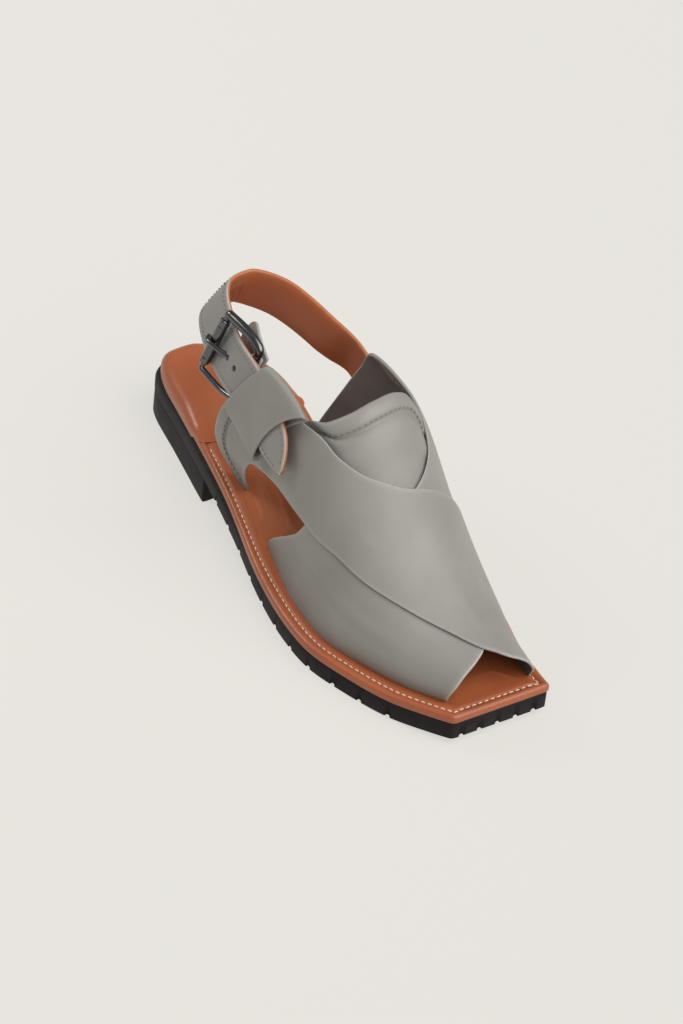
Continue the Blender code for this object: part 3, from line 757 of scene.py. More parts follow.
def sole_loop(last_row, front_bow=0.0, corner_passes=3, inset=0.0, heel_passes=0):
    """A loop round the sole up to a row, its inward directions, and its points' places on the spine."""
    rows = np.linspace(0, last_row, ROW_COUNT)
    lateral = outline_side(rows, -1, inset)
    medial = outline_side(rows, 1, inset)
    share = np.linspace(0, 1, FRONT_POINTS)[1:-1, None]
    front = lateral[-1] * (1 - share) + medial[-1] * share
    front[:, 0] += front_bow * 4 * (share * (1 - share))[:, 0]
    back = medial[0] * (1 - share[::5]) + lateral[0] * share[::5]
    middle = (lateral + medial) / 2
    end = middle[-1, 0] - SPINE_END
    spine_x = np.clip(middle[:, 0], SPINE_START, end)
    spine = np.stack([spine_x, np.interp(spine_x, middle[:, 0], middle[:, 1])], -1)
    loop = np.vstack([lateral, front, medial[::-1], back])
    hub_front = np.repeat(spine[-1:], len(front), 0)
    hub_back = np.repeat(spine[:1], len(back), 0)
    hub = np.vstack([spine, hub_front, spine[::-1], hub_back])
    loop = averaged(loop, corner_passes)
    rounder = averaged(loop, heel_passes)
    heel_share = smooth((HEEL_ROUND_END - loop[:, :1]) / HEEL_ROUND_RUN)
    loop = loop * (1 - heel_share) + rounder * heel_share
    tangent = unit(np.roll(loop, -1, 0) - np.roll(loop, 1, 0))
    inward = np.stack([-tangent[:, 1], tangent[:, 0]], -1)
    return loop, inward, hub


LEAST_TURN = 0.35
NEAREST_SPINE = 0.97


def ring_at(shape, depth, height):
    """The loop moved in by a depth, with height(x, y, depth) for its points."""
    loop, inward, hub = shape
    toward = unit(hub - loop)
    straight = np.maximum(np.sum(toward * inward, axis=-1), LEAST_TURN)
    reach = np.minimum(depth / straight, np.linalg.norm(hub - loop, axis=-1) * NEAREST_SPINE)
    flat = loop + toward * reach[:, None]
    return np.column_stack([flat, height(flat[:, 0], flat[:, 1], depth)])


def rings_to_spine(shape, depth, count, height):
    """Rings from a depth all the way to the spine."""
    start = ring_at(shape, depth, height)
    hub = shape[2]
    rings = []
    for share in np.linspace(0, 1, count + 1)[1:]:
        flat = start[:, :2] * (1 - share) + hub * share
        room = np.linalg.norm(flat - shape[0], axis=-1)
        rings.append(np.column_stack([flat, height(flat[:, 0], flat[:, 1], room)]))
    return rings


def ring_solid(name, rings, paint, wear):
    """A closed piece from rings; points that meet on the spine become one."""
    count = len(rings[0])
    wear_and_highlight = np.repeat(wear, count)
    return new_piece(name, np.vstack(rings), ring_faces(len(rings), count), [paint], wear=wear_and_highlight, merge=0.00002)


# %% Layers of the sole
FLAT_DEPTH = 0.013
UNDER_RINGS = 10
TOP_RINGS = 26


def shifted(height, by):
    return lambda x, y, depth: height(x, y, depth) + by


def layer(name, shape, bottom, top, rounding, paint, flat=FLAT_DEPTH, fine=(), lower_edge=None):
    """A layer with rounded edges between bottom and top, heights of (x, y, depth)."""
    rings = rings_to_spine(shape, flat, UNDER_RINGS, bottom)[::-1]
    wear = [0.0] * len(rings)
    lower_edge = rounding * 0.5 if lower_edge is None else lower_edge
    for angle in np.radians((90, 65, 45, 25, 0)):
        depth = lower_edge * (1 - math.cos(angle))
        rings.append(ring_at(shape, depth, shifted(bottom, lower_edge * (1 - math.sin(angle)))))
        wear.append(0.7)
    for angle in np.radians((0, 15, 30, 45, 60, 75, 90)):
        depth = rounding * (1 - math.cos(angle))
        rings.append(ring_at(shape, depth, shifted(top, -rounding * (1 - math.sin(angle)))))
        wear.append(0.5 + 0.5 * math.sin(2 * angle))
    for depth in fine:
        if depth > rounding:
            rings.append(ring_at(shape, depth, top))
            wear.append(0.0)
    inner = rings_to_spine(shape, flat, TOP_RINGS, top)
    return ring_solid(name, rings + inner, paint, wear + [0.0] * len(inner))


# %% [markdown]
# ## Rubber outsole and heel
#
# The outsole is a moulded rubber sheet with grooves across its under side, which show as small notches along
# its edge. The grooves are cut with one Boolean, as a moulder's steel would cut them. The heel block under it
# has straight sides and rounded edges.

# %% Outsole
GROOVE_DEPTH = 0.0018
GROOVE_WIDTH = 0.0030
GROOVE_PITCH = 0.0165
TOE_GROOVE_PITCH = 0.0105
TOE_GROOVE_LENGTH = 0.012
GROOVE_ROUND = 0.0004
SHARP_ANGLE = math.radians(50)


def outsole_bottom(x, y, depth):
    return rubber_top(x) - RUBBER


def outsole_top(x, y, depth):
    return rubber_top(x)


def groove_cutter():
    form = bmesh.new()

    def groove(size, place, turn=None):
        made = bmesh.ops.create_cube(form, size=1.0)["verts"]
        bmesh.ops.scale(form, vec=size, verts=made)
        if turn is not None:
            bmesh.ops.rotate(form, cent=(0, 0, 0), matrix=turn, verts=made)
        bmesh.ops.translate(form, vec=placed(place), verts=made)

    x = HEEL_LENGTH + GROOVE_PITCH
    while x < SOLE_LENGTH - TOE_GROOVE_LENGTH - GROOVE_PITCH / 2:
        bottom = float(rubber_top(x)) - RUBBER
        groove((GROOVE_WIDTH, 1.5 * BALL_WIDTH, 2 * GROOVE_DEPTH), (x, 0.0, bottom))
        x += GROOVE_PITCH
    slope = math.atan2(2 * TOE_SPRING, SOLE_LENGTH - SPRING_START)
    turn = Matrix.Rotation(-slope, 3, "Y")
    for k in range(-2, 3):
        place = (SOLE_LENGTH, k * TOE_GROOVE_PITCH, TOE_SPRING)
        groove((2 * TOE_GROOVE_LENGTH, GROOVE_WIDTH, 2 * GROOVE_DEPTH), place, turn)
    bmesh.ops.bevel(form, geom=form.edges, offset=GROOVE_ROUND, segments=2, affect="EDGES")
    return object_from(form, "groove_cutter")


def cut_away(piece, cutter):
    """Cuts with an exact Boolean, applies it and removes the cutter."""
    change = piece.modifiers.new("cut", "BOOLEAN")
    change.operation = "DIFFERENCE"
    change.object = cutter
    change.solver = "EXACT"
    bpy.context.view_layer.update()
    graph = bpy.context.evaluated_depsgraph_get()
    changed = piece.evaluated_get(graph)
    cut = bpy.data.meshes.new_from_object(changed, preserve_all_data_layers=True, depsgraph=graph)
    piece.modifiers.clear()
    piece.data = cut
    piece.data.set_sharp_from_angle(angle=SHARP_ANGLE)
    bpy.data.objects.remove(cutter, do_unlink=True)


SHOULDER = 0.0015
SHOULDER_END = 0.150
SHOULDER_RUN = 0.050
BACK_SHOULDER = 0.0016
BACK_END = 0.030


def heel_shoulder(x):
    """How far the leather stands back from the rubber round the heel."""
    along_sides = SHOULDER * smooth((SHOULDER_END - x) / SHOULDER_RUN)
    return along_sides + BACK_SHOULDER * smooth((BACK_END - x) / BACK_END)


def heel_inset(inset):
    """An inset for every row of the sole, larger round the heel."""
    return inset + heel_shoulder(outline_side(np.linspace(0, LAST_ROW, ROW_COUNT), -1)[:, 0])


# %% The rubber sheet
RUBBER_EDGE = 0.0008
WHOLE_SOLE = sole_loop(LAST_ROW)
upper_edge = RUBBER_EDGE + heel_shoulder(WHOLE_SOLE[0][:, 0])
outsole = layer(
    "rubber_outsole", WHOLE_SOLE, outsole_bottom, outsole_top, upper_edge, RUBBER_PAINT, lower_edge=0.0003
)
cut_away(outsole, groove_cutter())
settle(outsole, "rubber", "outsole")

# %% Heel block
HEEL_INSET = 0.0002
HEEL_EDGE = 0.0009
HEEL_FLAT = 0.012


def row_from_back(distance):
    """The outline's row that lies a distance from the heel's back."""
    rows = np.linspace(0, LAST_ROW, 2000)
    return float(rows[np.searchsorted(outline_side(rows, -1)[:, 0], distance)])


def heel_bottom(x, y, depth):
    return 0.0 * x


def heel_top(x, y, depth):
    return rubber_top(x) - RUBBER - GAP


heel_shape = sole_loop(row_from_back(HEEL_LENGTH), inset=HEEL_INSET)
heel = layer("rubber_heel", heel_shape, heel_bottom, heel_top, HEEL_EDGE, RUBBER_PAINT, flat=HEEL_FLAT)
settle(heel, "rubber", "heel_block")

# %% [markdown]
# ## Leather midsole, footbed and heel pad
#
# The tan leather wraps over the edge of the midsole, so its rim is a soft lip. Inside the lip a stitch line
# sits in a channel, and beyond it the footbed swells over thin padding. A thicker cushion covers the heel.
# The channel and the lip are heights in the rings, so they follow the outline exactly.

# %% Midsole with its lip and channel
CHANNEL_DEPTH = 0.0008
CHANNEL_WIDTH = 0.0013
LIP_HEIGHT = 0.0004
LIP_PLACE = 0.50
LIP_WIDTH = 0.0013
STITCH_DEPTH = 0.0052
WAIST_SHIFT = 0.0014
WAIST_START = 0.180
WAIST_RUN = 0.060


def stitch_depth(x):
    """The stitches run nearer the edge at the waist than at the toe."""
    return STITCH_DEPTH - WAIST_SHIFT * smooth((WAIST_START - x) / WAIST_RUN)


def midsole_seat(x, y, depth):
    return rubber_top(x) + GAP


def midsole_face(x, y, depth):
    channel = CHANNEL_DEPTH * np.exp(-(((depth - stitch_depth(x)) / CHANNEL_WIDTH) ** 2))
    lip = LIP_HEIGHT * np.exp(-(((depth - LIP_PLACE * stitch_depth(x)) / LIP_WIDTH) ** 2))
    return midsole_top(x) + lip - channel


channel_rings = np.arange(0.0020, 0.0100, 0.00035)
MIDSOLE_EDGE = 0.0018
HEEL_PASSES = 60
rim_inset = heel_inset(-MIDSOLE_OVERHANG)
rim_shape = sole_loop(LAST_ROW, inset=rim_inset, corner_passes=4, heel_passes=HEEL_PASSES)
midsole = layer(
    "leather_midsole", rim_shape, midsole_seat, midsole_face, MIDSOLE_EDGE, TAN_LEATHER, fine=channel_rings
)
settle(midsole, "tan_leather", "midsole")

# %% Footbed
FOOTBED_INSET = 0.0078
FOOTBED_SWELL = 0.0022
SWELL_RUN = 0.016
FOOTBED_EDGE = 0.0001
FOOTBED_SKIN = 0.0003
FOLD_FADE = 0.25
# soft folds along the waist: two ends (x, y), height and half width, from the heel's back and the axis
WAIST_FOLDS = (
    (0.1076, -0.0200, 0.1325, -0.0290, 0.0009, 0.0024),
    (0.1054, -0.0095, 0.1390, -0.0200, 0.0013, 0.0034),
    (0.1200, -0.0200, 0.1350, -0.0250, 0.0005, 0.0010),
)


def folds_at(x, y, folds):
    """Soft ridges along straight lines that fade at their ends."""
    total = 0.0 * x
    for x0, y0, x1, y1, height, width in folds:
        length = math.hypot(x1 - x0, y1 - y0)
        along = ((x - x0) * (x1 - x0) + (y - y0) * (y1 - y0)) / length
        beside = ((x - x0) * (y1 - y0) - (y - y0) * (x1 - x0)) / length
        run = 0.4 * length
        start = smooth((along + FOLD_FADE * length) / run)
        end = smooth(((1 + FOLD_FADE) * length - along) / run)
        total = total + height * (start * end) * np.exp(-((beside / width) ** 2))
    return total


def footbed_seat(x, y, depth):
    return midsole_top(x) + FOOTBED_EDGE


def footbed_face(x, y, depth):
    swell = FOOTBED_SWELL * smooth(depth / SWELL_RUN)
    return midsole_top(x) + FOOTBED_SKIN + swell + folds_at(x, y, WAIST_FOLDS)


footbed_shape = sole_loop(LAST_ROW, inset=heel_inset(FOOTBED_INSET), corner_passes=6)
fine_rings = np.arange(0.0010, 0.013, 0.0012)
footbed = layer(
    "footbed", footbed_shape, footbed_seat, footbed_face, FOOTBED_EDGE, TAN_LEATHER, fine=fine_rings
)
settle(footbed, "tan_leather", "insole")

# %% Welt stitches
WELT_THREAD = 0.00065
WELT_PITCH = 0.0036
WELT_SHARE = 0.76
PAST_PAD = 0.004
welt_line = ring_at(rim_shape, stitch_depth(rim_shape[0][:, 0]), shifted(midsole_face, 0.0001))
past_pad = welt_line[:, 0] > PAD_LENGTH + PAST_PAD
welt_line = np.roll(welt_line, -int(np.argmax(past_pad)), 0)
welt_line = welt_line[: int(past_pad.sum())]
welt_up = np.tile((0.0, 0.0, 1.0), (len(welt_line), 1))
stitch_row(
    "welt_stitches", welt_line, welt_up, WELT_PITCH, WELT_THREAD, CREAM_THREAD, WELT_SHARE
)

# %% [markdown]
# ## Heel cushion
#
# The cushion is foam under a leather cover that is drawn down over the midsole's edge. Its side is a straight
# wall, its upper edge a quarter turn, and its top a low dome that thins out towards the waist.

# %% Faces of the heel cushion
PAD_ROUND = 0.0062
PAD_RISE = 0.0046
PAD_FRONT = 0.034
PAD_SKIN = 0.0004
PAD_SEAT_START = 0.060
PAD_FLAT = 0.012
PAD_OVERHANG = MIDSOLE_OVERHANG + 0.0005
DOME_RUN = 0.022
DOME_FRONT = 0.030


def pad_base(x, y, depth):
    return midsole_top(x) + GAP


def pad_seat(x, y, depth):
    """The cushion's wall hides the midsole's edge and lifts onto the midsole near its front."""
    lift = smooth((x - PAD_SEAT_START) / (PAD_LENGTH - PAST_PAD - PAD_SEAT_START))
    return rubber_top(x) + GAP + (MIDSOLE + GAP) * lift


def pad_face(x, y, depth):
    thick = PAD_SKIN + PAD_RISE * smooth((PAD_LENGTH + PAST_PAD - x) / PAD_FRONT)
    dome = PAD_DOME * smooth(depth / DOME_RUN) * smooth((PAD_LENGTH - PAST_PAD - x) / DOME_FRONT)
    return midsole_top(x) + GAP + thick + dome


def pad_roll(angle):
    """A height of the rolled upper edge: a quarter turn as high as the cushion has room for."""
    def height(x, y, depth):
        top = pad_face(x, y, depth)
        room = np.minimum(PAD_ROUND, 0.85 * (top - pad_seat(x, y, depth)))
        return top - room * (1 - math.sin(angle))
    return height


def pad_wall(share):
    """A height on the wall, a share of the way up to the rolled edge."""
    def height(x, y, depth):
        low = pad_seat(x, y, depth)
        return low + (pad_roll(0.0)(x, y, depth) - low) * share
    return height


# %% Heel cushion
def heel_pad_solid():
    last_row = row_from_back(PAD_LENGTH)
    rows = np.linspace(0, last_row, ROW_COUNT)
    inset = heel_shoulder(outline_side(rows, -1)[:, 0]) - PAD_OVERHANG
    shape = sole_loop(last_row, front_bow=0.006, corner_passes=14, inset=inset, heel_passes=5 * HEEL_PASSES)
    rings = rings_to_spine(shape, PAD_FLAT, UNDER_RINGS, pad_base)[::-1]
    rings.append(ring_at(shape, 0.0010, pad_base))
    rings.append(ring_at(shape, 0.0002, pad_seat))
    wear = [0.0] * len(rings)
    for share in np.linspace(0.04, 0.96, 6):
        rings.append(ring_at(shape, 0.0, pad_wall(share)))
        wear.append(0.1)
    for angle in np.radians(np.arange(0, 91, 9)):
        rings.append(ring_at(shape, PAD_ROUND * (1 - math.cos(angle)), pad_roll(angle)))
        wear.append(0.2)
    for depth in np.arange(PAD_ROUND + 0.001, PAD_FLAT, 0.001):
        rings.append(ring_at(shape, depth, pad_face))
        wear.append(0.0)
    inner = rings_to_spine(shape, PAD_FLAT, 24, pad_face)
    return ring_solid("heel_cushion", rings + inner, TAN_LEATHER, wear + [0.0] * len(inner))


heel_cushion = settle(heel_pad_solid(), "tan_leather", "heel_pad")

# %% [markdown]
# ## The crossed straps
#
# Two wide straps make the upper. Each is drawn by its rear and its front edge on the last, so a strap is a
# small table, and where they cross, the top strap climbs by the thickness of the other. Shallow creases are
# laid in where walking would bend the leather.

# %% Strap tables
# rear edge along and around, front edge along and around
UNDER_STRAP = (
    (0.486, 0.000, 0.945, 0.000),
    (0.556, 0.065, 0.962, 0.150),
    (0.590, 0.120, 0.964, 0.270),
    (0.630, 0.250, 0.958, 0.380),
    (0.680, 0.400, 0.940, 0.470),
    (0.693, 0.520, 0.893, 0.580),
    (0.653, 0.637, 0.833, 0.700),
    (0.603, 0.690, 0.773, 0.800),
    (0.500, 0.718, 0.745, 0.855),
    (0.428, 0.755, 0.730, 0.900),
    (0.390, 0.860, 0.723, 0.935),
    (0.350, 0.945, 0.717, 0.970),
    (0.310, 1.000, 0.710, 1.000),
)
TOP_STRAP = (
    (0.346, 0.000, 0.372, 0.000),
    (0.297, 0.030, 0.380, 0.040),
    (0.288, 0.070, 0.400, 0.072),
    (0.310, 0.150, 0.440, 0.090),
    (0.393, 0.225, 0.497, 0.108),
    (0.500, 0.257, 0.560, 0.123),
    (0.560, 0.285, 0.617, 0.150),
    (0.600, 0.307, 0.683, 0.205),
    (0.640, 0.360, 0.757, 0.262),
    (0.670, 0.427, 0.827, 0.323),
    (0.690, 0.500, 0.893, 0.385),
    (0.695, 0.600, 0.948, 0.450),
    (0.693, 0.690, 0.975, 0.540),
    (0.690, 0.790, 0.982, 0.670),
    (0.683, 0.900, 0.974, 0.840),
    (0.677, 1.000, 0.961, 1.000),
)


print("strap rows:", len(UNDER_STRAP), "and", len(TOP_STRAP))

# %% Strap faces
# each crease: centre and slope along the strap, half width, depth, and where it starts and ends across it
UNDER_CREASES = (
    (0.10, 0.05, 0.020, 0.00035, 0.05, 0.8),
    (0.17, 0.07, 0.025, 0.00040, 0.00, 0.7),
    (0.26, 0.04, 0.030, 0.00030, 0.20, 1.0),
)
TOP_CREASES = (
    (0.80, 0.06, 0.020, 0.00040, 0.30, 1.0),
    (0.72, 0.05, 0.030, 0.00035, 0.50, 1.0),
    (0.55, -0.05, 0.035, 0.00030, 0.00, 0.6),
)
CREASE_FADE = 0.2
EDGE_CROWDING = 0.6
GREY_SHEET = [GREY_LEATHER, GREY_EDGE, GREY_LINING]


def edge_spaced(count):
    """Shares from 0 to 1 that crowd towards both ends."""
    even = np.linspace(0, 1, count)
    return even + EDGE_CROWDING * (-np.sin(2 * np.pi * even)) / (2 * np.pi)


def strap_grids(table, columns, rows, inner_off, outer_off):
    u, v = np.meshgrid(np.linspace(0, 1, columns), edge_spaced(rows), indexing="ij")
    inner = strap_point(table, u, v, inner_off(u, v))
    outer = strap_point(table, u, v, outer_off(u, v))
    return u, v, outer, inner


def pushed(outer, inner, height):
    """The outer face with a height added along its normals."""
    return outer + sheet_normals(outer, inner) * height[..., None]


def ridge(distance, place, width):
    """1 where the distance is at a place, falling off on both sides of it."""
    return np.exp(-(((distance - place) / width) ** 2))


def wave(u, v, centre, slope, width, depth, first, last):
    """A trough across a strap near u = centre, leaning with v, between two places across it."""
    across = ridge(u, centre + slope * (v - 0.5), width)
    return -depth * across * smooth((v - first) / CREASE_FADE) * smooth((last - v) / CREASE_FADE)


# %% Under strap
SKIN = 0.0015
SKIN_BASE = UNDER_STRAP_OFF + LINED_LEATHER - SKIN
FOLD_WIDTH = 0.0150
FOLD_LAST = 0.735
u, v, outer, inner = strap_grids(
    UNDER_STRAP, 200, 90, lambda u, v: SKIN_BASE + 0 * u, lambda u, v: SKIN_BASE + SKIN + 0 * u
)
outer = pushed(outer, inner, sum(wave(u, v, *crease) for crease in UNDER_CREASES))
folded = np.zeros((outer.shape[0] - 1, outer.shape[1] - 1), int) + 2
from_rear = edge_distances(inner)[2][:-1, :-1]
folded[(from_rear < FOLD_WIDTH) & (u[:-1, :-1] < FOLD_LAST)] = 0
settle(leather_sheet("under_strap", outer, inner, GREY_SHEET, lining=folded), "grey_leather", "upper")

# %% Stitches on the inner quarter's lining
inner_up = -sheet_normals(outer, inner)
line, up = row_beside(inner, inner_up, FOLD_WIDTH - 0.0014, 1, first=0.60, last=0.73)
stitch_row("quarter_stitches", line, up, 0.0030, 0.0006, GREY_THREAD)

# %% Top strap
CLIMB_RUN = 0.30
CLIMB_END = 0.05
HEM_REACH = 0.0068
HEM_HEIGHT = 0.0007
HEM_STEP = 0.0012
HEM_GROOVE = 0.00035
HEM_GROOVE_PLACE = HEM_REACH + 0.0014
HEM_GROOVE_HALF = 0.0006
QUARTER_END = 0.20
QUARTER_RUN = 0.05


def top_base(u, v):
    """The top strap's inner face rises over the under strap."""
    return SKIN_BASE + CROSSING_RISE * (smooth(u / CLIMB_RUN) * smooth((1 - u) / CLIMB_END))


u, v, outer, inner = strap_grids(TOP_STRAP, 240, 90, top_base, lambda u, v: top_base(u, v) + SKIN)
from_rear = edge_distances(outer)[2]
on_quarter = smooth((QUARTER_END - u) / QUARTER_RUN)
hem = on_quarter * (HEM_HEIGHT * smooth((HEM_REACH + HEM_STEP - from_rear) / 0.0016))
hem -= on_quarter * HEM_GROOVE * ridge(from_rear, HEM_GROOVE_PLACE, HEM_GROOVE_HALF)
outer = pushed(outer, inner, sum(wave(u, v, *crease) for crease in TOP_CREASES) + hem)
settle(leather_sheet("top_strap", outer, inner, GREY_SHEET), "grey_leather", "upper")

# %% Stitches on the outer quarter
top_up = sheet_normals(outer, inner)
lines = [row_beside(outer, top_up, HEM_REACH + off, 1, first=0.012, last=0.185) for off in (0.0004, 0.0022)]
stitch_row("hem_stitches", [a for a, _ in lines], [b for _, b in lines], 0.0029, 0.00065, GREY_THREAD)

# %% [markdown]
# ## The tongue
#
# The tongue is a soft padded piece under the crossing. Its rim is turned over a roll of foam and held by a
# row of stitches, so the roll and the stitched channel are heights that depend on the distance from the rear
# edge.

# %% Tongue
TONGUE = (
    (0.480, 0.150, 0.690, 0.160),
    (0.487, 0.210, 0.705, 0.240),
    (0.507, 0.270, 0.705, 0.300),
    (0.545, 0.320, 0.705, 0.350),
    (0.567, 0.400, 0.705, 0.420),
    (0.571, 0.480, 0.705, 0.490),
    (0.565, 0.570, 0.705, 0.570),
    (0.565, 0.640, 0.705, 0.640),
    (0.590, 0.700, 0.700, 0.700),
    (0.595, 0.780, 0.690, 0.780),
)
RIM_STITCH = 0.0095
RIM_HALF = RIM_STITCH / 2
RIM_START = 0.35
RIM_DIP = 0.0006
CUSHION_RISE = 0.0010
CUSHION_END = 0.034
CUSHION_RUN_IN = 0.006
CUSHION_RUN_OUT = 0.014
u, v, outer, inner = strap_grids(TONGUE, 180, 70, lambda u, v: 0 * u, lambda u, v: TONGUE_LEATHER + 0 * u)
from_rear = edge_distances(outer)[2]
shown = smooth((u - 0.20) / 0.14) * smooth((0.92 - u) / 0.10)
roll = np.sqrt(np.clip(1 - ((from_rear - RIM_HALF) / RIM_HALF) ** 2, 0, 1))
roll = np.where(from_rear < RIM_HALF, RIM_START + (1 - RIM_START) * roll, roll)
dip = RIM_DIP * ridge(from_rear, RIM_STITCH, 0.0010)
cushion = smooth((from_rear - RIM_STITCH) / CUSHION_RUN_IN)
cushion = cushion * smooth((CUSHION_END - from_rear) / CUSHION_RUN_OUT)
outer = pushed(outer, inner, shown * (RIM_PADDING * roll + CUSHION_RISE * cushion) - dip)
paints = [GREY_LEATHER, GREY_LEATHER, GREY_LINING]
settle(leather_sheet("tongue_leather", outer, inner, paints, bulge=0.5, steps=9), "grey_leather", "tongue")
line, up = row_beside(outer, sheet_normals(outer, inner), RIM_STITCH, 1, first=0.14, last=0.97)
stitch_row("rim_stitches", line, up, 0.0031, 0.0007, GREY_THREAD)

# %% [markdown]
# ## The slingback
#
# A long strap runs from the inner quarter behind the heel to the buckle, through the keeper, and ends in a
# pointed tip. Its middle line is free round the heel, then lies on the last. It is made of an outer grey
# leather and a padded tan lining, so it is one sheet with two faces and a fine seam of lining at its edge.

# %% Middle line of the slingback
# along, across, up, and how the width leans along and across
BAND = (
    (0.394, 0.306, 0.845, 0.28, 0.05),
    (0.342, 0.315, 0.872, 0.30, 0.10),
    (0.288, 0.298, 0.909, 0.33, 0.15),
    (0.228, 0.250, 0.952, 0.35, 0.20),
    (0.190, 0.205, 0.972, 0.35, 0.25),
    (0.159, 0.122, 0.992, 0.35, 0.30),
    (0.147, 0.050, 1.000, 0.35, 0.33),
    (0.150, -0.075, 1.010, 0.35, 0.37),
    (0.180, -0.155, 1.000, 0.36, 0.38),
    (0.225, -0.210, 0.970, 0.36, 0.38),
)
# along and around on the last, and how far the strap stands off the keeper's inner layer
TAIL = (
    (0.310, 0.240, 0.0045),
    (0.363, 0.224, 0.0030),
    (0.420, 0.202, 0.0006),
    (0.475, 0.185, 0.0),
    (0.523, 0.153, 0.0),
)
BUCKLE_ROW = len(BAND)
TOP_STRAP_OUTSIDE = UNDER_STRAP_OFF + CROSSING_RISE + LINED_LEATHER
TAIL_OFF = TOP_STRAP_OUTSIDE + GAP + KEEPER_LEATHER + GAP + CHAPE_LEATHER + GAP + BAND_LEATHER / 2


def band_rows():
    rows = []
    for along, across, up, lean_along, lean_across in BAND:
        width = (lean_along, lean_across, math.sqrt(1 - lean_along**2 - lean_across**2))
        rows.append((along * SOLE_LENGTH, across * BALL_WIDTH, up * INSTEP_HEIGHT, *width))
    for along, around, lift in TAIL:
        off = TAIL_OFF + lift
        width = unit(last_point(along, around + 0.03, off) - last_point(along, around - 0.03, off))
        rows.append((*last_point(along, around, off), *width))
    return rows


# %% The slingback's smooth line
BAND_FINE = 1401
BAND_PASSES = 3200
BAND_END = len(BAND) + len(TAIL) - 1
LOOK_ROWS = 0.03


def evened(rows, passes):
    """The rows on a fine curve, evened out so that the strap bends without kinks."""
    fine = catmull(rows, np.linspace(0, len(rows) - 1, BAND_FINE))
    for _ in range(passes):
        fine[1:-1] = (fine[:-2] + 2 * fine[1:-1] + fine[2:]) / 4
    return fine


BAND_CURVE = evened(band_rows(), BAND_PASSES)


def band_frame(place):
    """Middle points, forward, width and outward directions of the slingback at rows."""
    place = np.asarray(place, float)
    scale = (BAND_FINE - 1) / BAND_END
    here = catmull(BAND_CURVE, place * scale)
    ahead = catmull(BAND_CURVE, (place + LOOK_ROWS) * scale)
    behind = catmull(BAND_CURVE, (place - LOOK_ROWS) * scale)
    forward = unit(ahead[..., :3] - behind[..., :3])
    width = here[..., 3:]
    width = unit(width - forward * np.sum(width * forward, axis=-1, keepdims=True))
    return here[..., :3], forward, width, np.cross(forward, width)


FINE_ROWS = np.linspace(0, BAND_END, 4001)
FINE_STEPS = np.linalg.norm(np.diff(band_frame(FINE_ROWS)[0], axis=0), axis=1)
FINE_REACH = np.concatenate([[0], np.cumsum(FINE_STEPS)])


def row_after(row, distance):
    """The row that lies a distance further along the slingback."""
    return float(np.interp(np.interp(row, FINE_ROWS, FINE_REACH) + distance, FINE_REACH, FINE_ROWS))


print("slingback length in mm:", round(FINE_REACH[-1] * 1000))

# %% Slingback strap
TIP_LENGTH = 0.020
HIDDEN_END = 0.008
HIDDEN_SHIFT = 0.0031
MEDIAL_SLANT = 0.5
BAND_CROWN = 0.0004
PILLOW = 0.0013
# the small puckers of the lining where it bends behind the heel
PUCKER_COUNT = 9
PUCKER_START = 0.415
PUCKER_STEP = 0.0085
PUCKER_WIDTH = 0.0022
PUCKER_DEPTH = 0.00055
BAND_STITCH = 0.0022
BAND_GROOVE = 0.00018
GROOVE_HALF = 0.0005
TIP_BLUNT = 0.06
TIP_SHAPE = 0.85
HIDDEN_RUN = 0.035
LIFT_END = 0.150
LIFT_RUN = 0.120
PILLOW_ROWS = (0.8, 9.0)
PILLOW_RUNS = (0.8, 1.5)


def puckers(u, v):
    total = 0 * u
    for k in range(PUCKER_COUNT):
        centre = PUCKER_START + PUCKER_STEP * k + 0.003 * math.sin(5.0 * k)
        lean = 0.012 * math.sin(2.3 * k)
        first = -0.1 + 0.03 * k
        last = 0.75 + 0.04 * math.cos(3 * k)
        total += wave(u, v, centre, lean, PUCKER_WIDTH, PUCKER_DEPTH, first, last)
    return total


def slingback_grids():
    u, v = np.meshgrid(np.linspace(0, 1, 420), edge_spaced(26), indexing="ij")
    rows = BAND_END * u + MEDIAL_SLANT * (1 - v) * np.maximum(0.0, 1 - 10 * u)
    reach_left = FINE_REACH[-1] - np.interp(rows, FINE_ROWS, FINE_REACH)
    tip_share = np.clip(reach_left / TIP_LENGTH, 0, 1)
    half = BAND_WIDTH / 2 * (TIP_BLUNT + (1 - TIP_BLUNT) * np.sin(np.pi / 2 * tip_share**TIP_SHAPE))
    middle, forward, width, out = band_frame(rows)
    # the medial end runs on behind the quarter and passes outside it
    hidden = smooth((HIDDEN_RUN - u) / HIDDEN_RUN)[..., None]
    lifted = (smooth((LIFT_END - u) / LIFT_RUN) * (2.0 - v))[..., None]
    middle = middle - forward * hidden * HIDDEN_END + out * lifted * HIDDEN_SHIFT
    spot = middle + width * ((2 * v - 1) * half)[..., None]
    crown = BAND_CROWN * (1 - (2 * v - 1) ** 2)
    outer = spot + out * (BAND_LEATHER / 2 + crown)[..., None]
    free = smooth((PILLOW_ROWS[1] - rows) / PILLOW_RUNS[1])
    free = free * smooth((rows - PILLOW_ROWS[0]) / PILLOW_RUNS[0])
    pillow = PILLOW * free * (1 - np.abs(2 * v - 1) ** 3)
    inner = spot - out * (BAND_LEATHER / 2 + crown + pillow + puckers(u, v))[..., None]
    across = edge_distances(outer)
    groove = BAND_GROOVE * ridge(np.minimum(across[2], across[3]), BAND_STITCH, GROOVE_HALF)
    return outer - out * groove[..., None], inner


outer, inner = slingback_grids()
# the tan lining's part of the edge takes its lighter edge colour, partly wear and partly a painted highlight
# along the rim
slingback = leather_sheet(
    "slingback_strap", outer, inner, [GREY_LEATHER, GREY_EDGE, TAN_LINING], bulge=0.35, edge_share=0.4
)


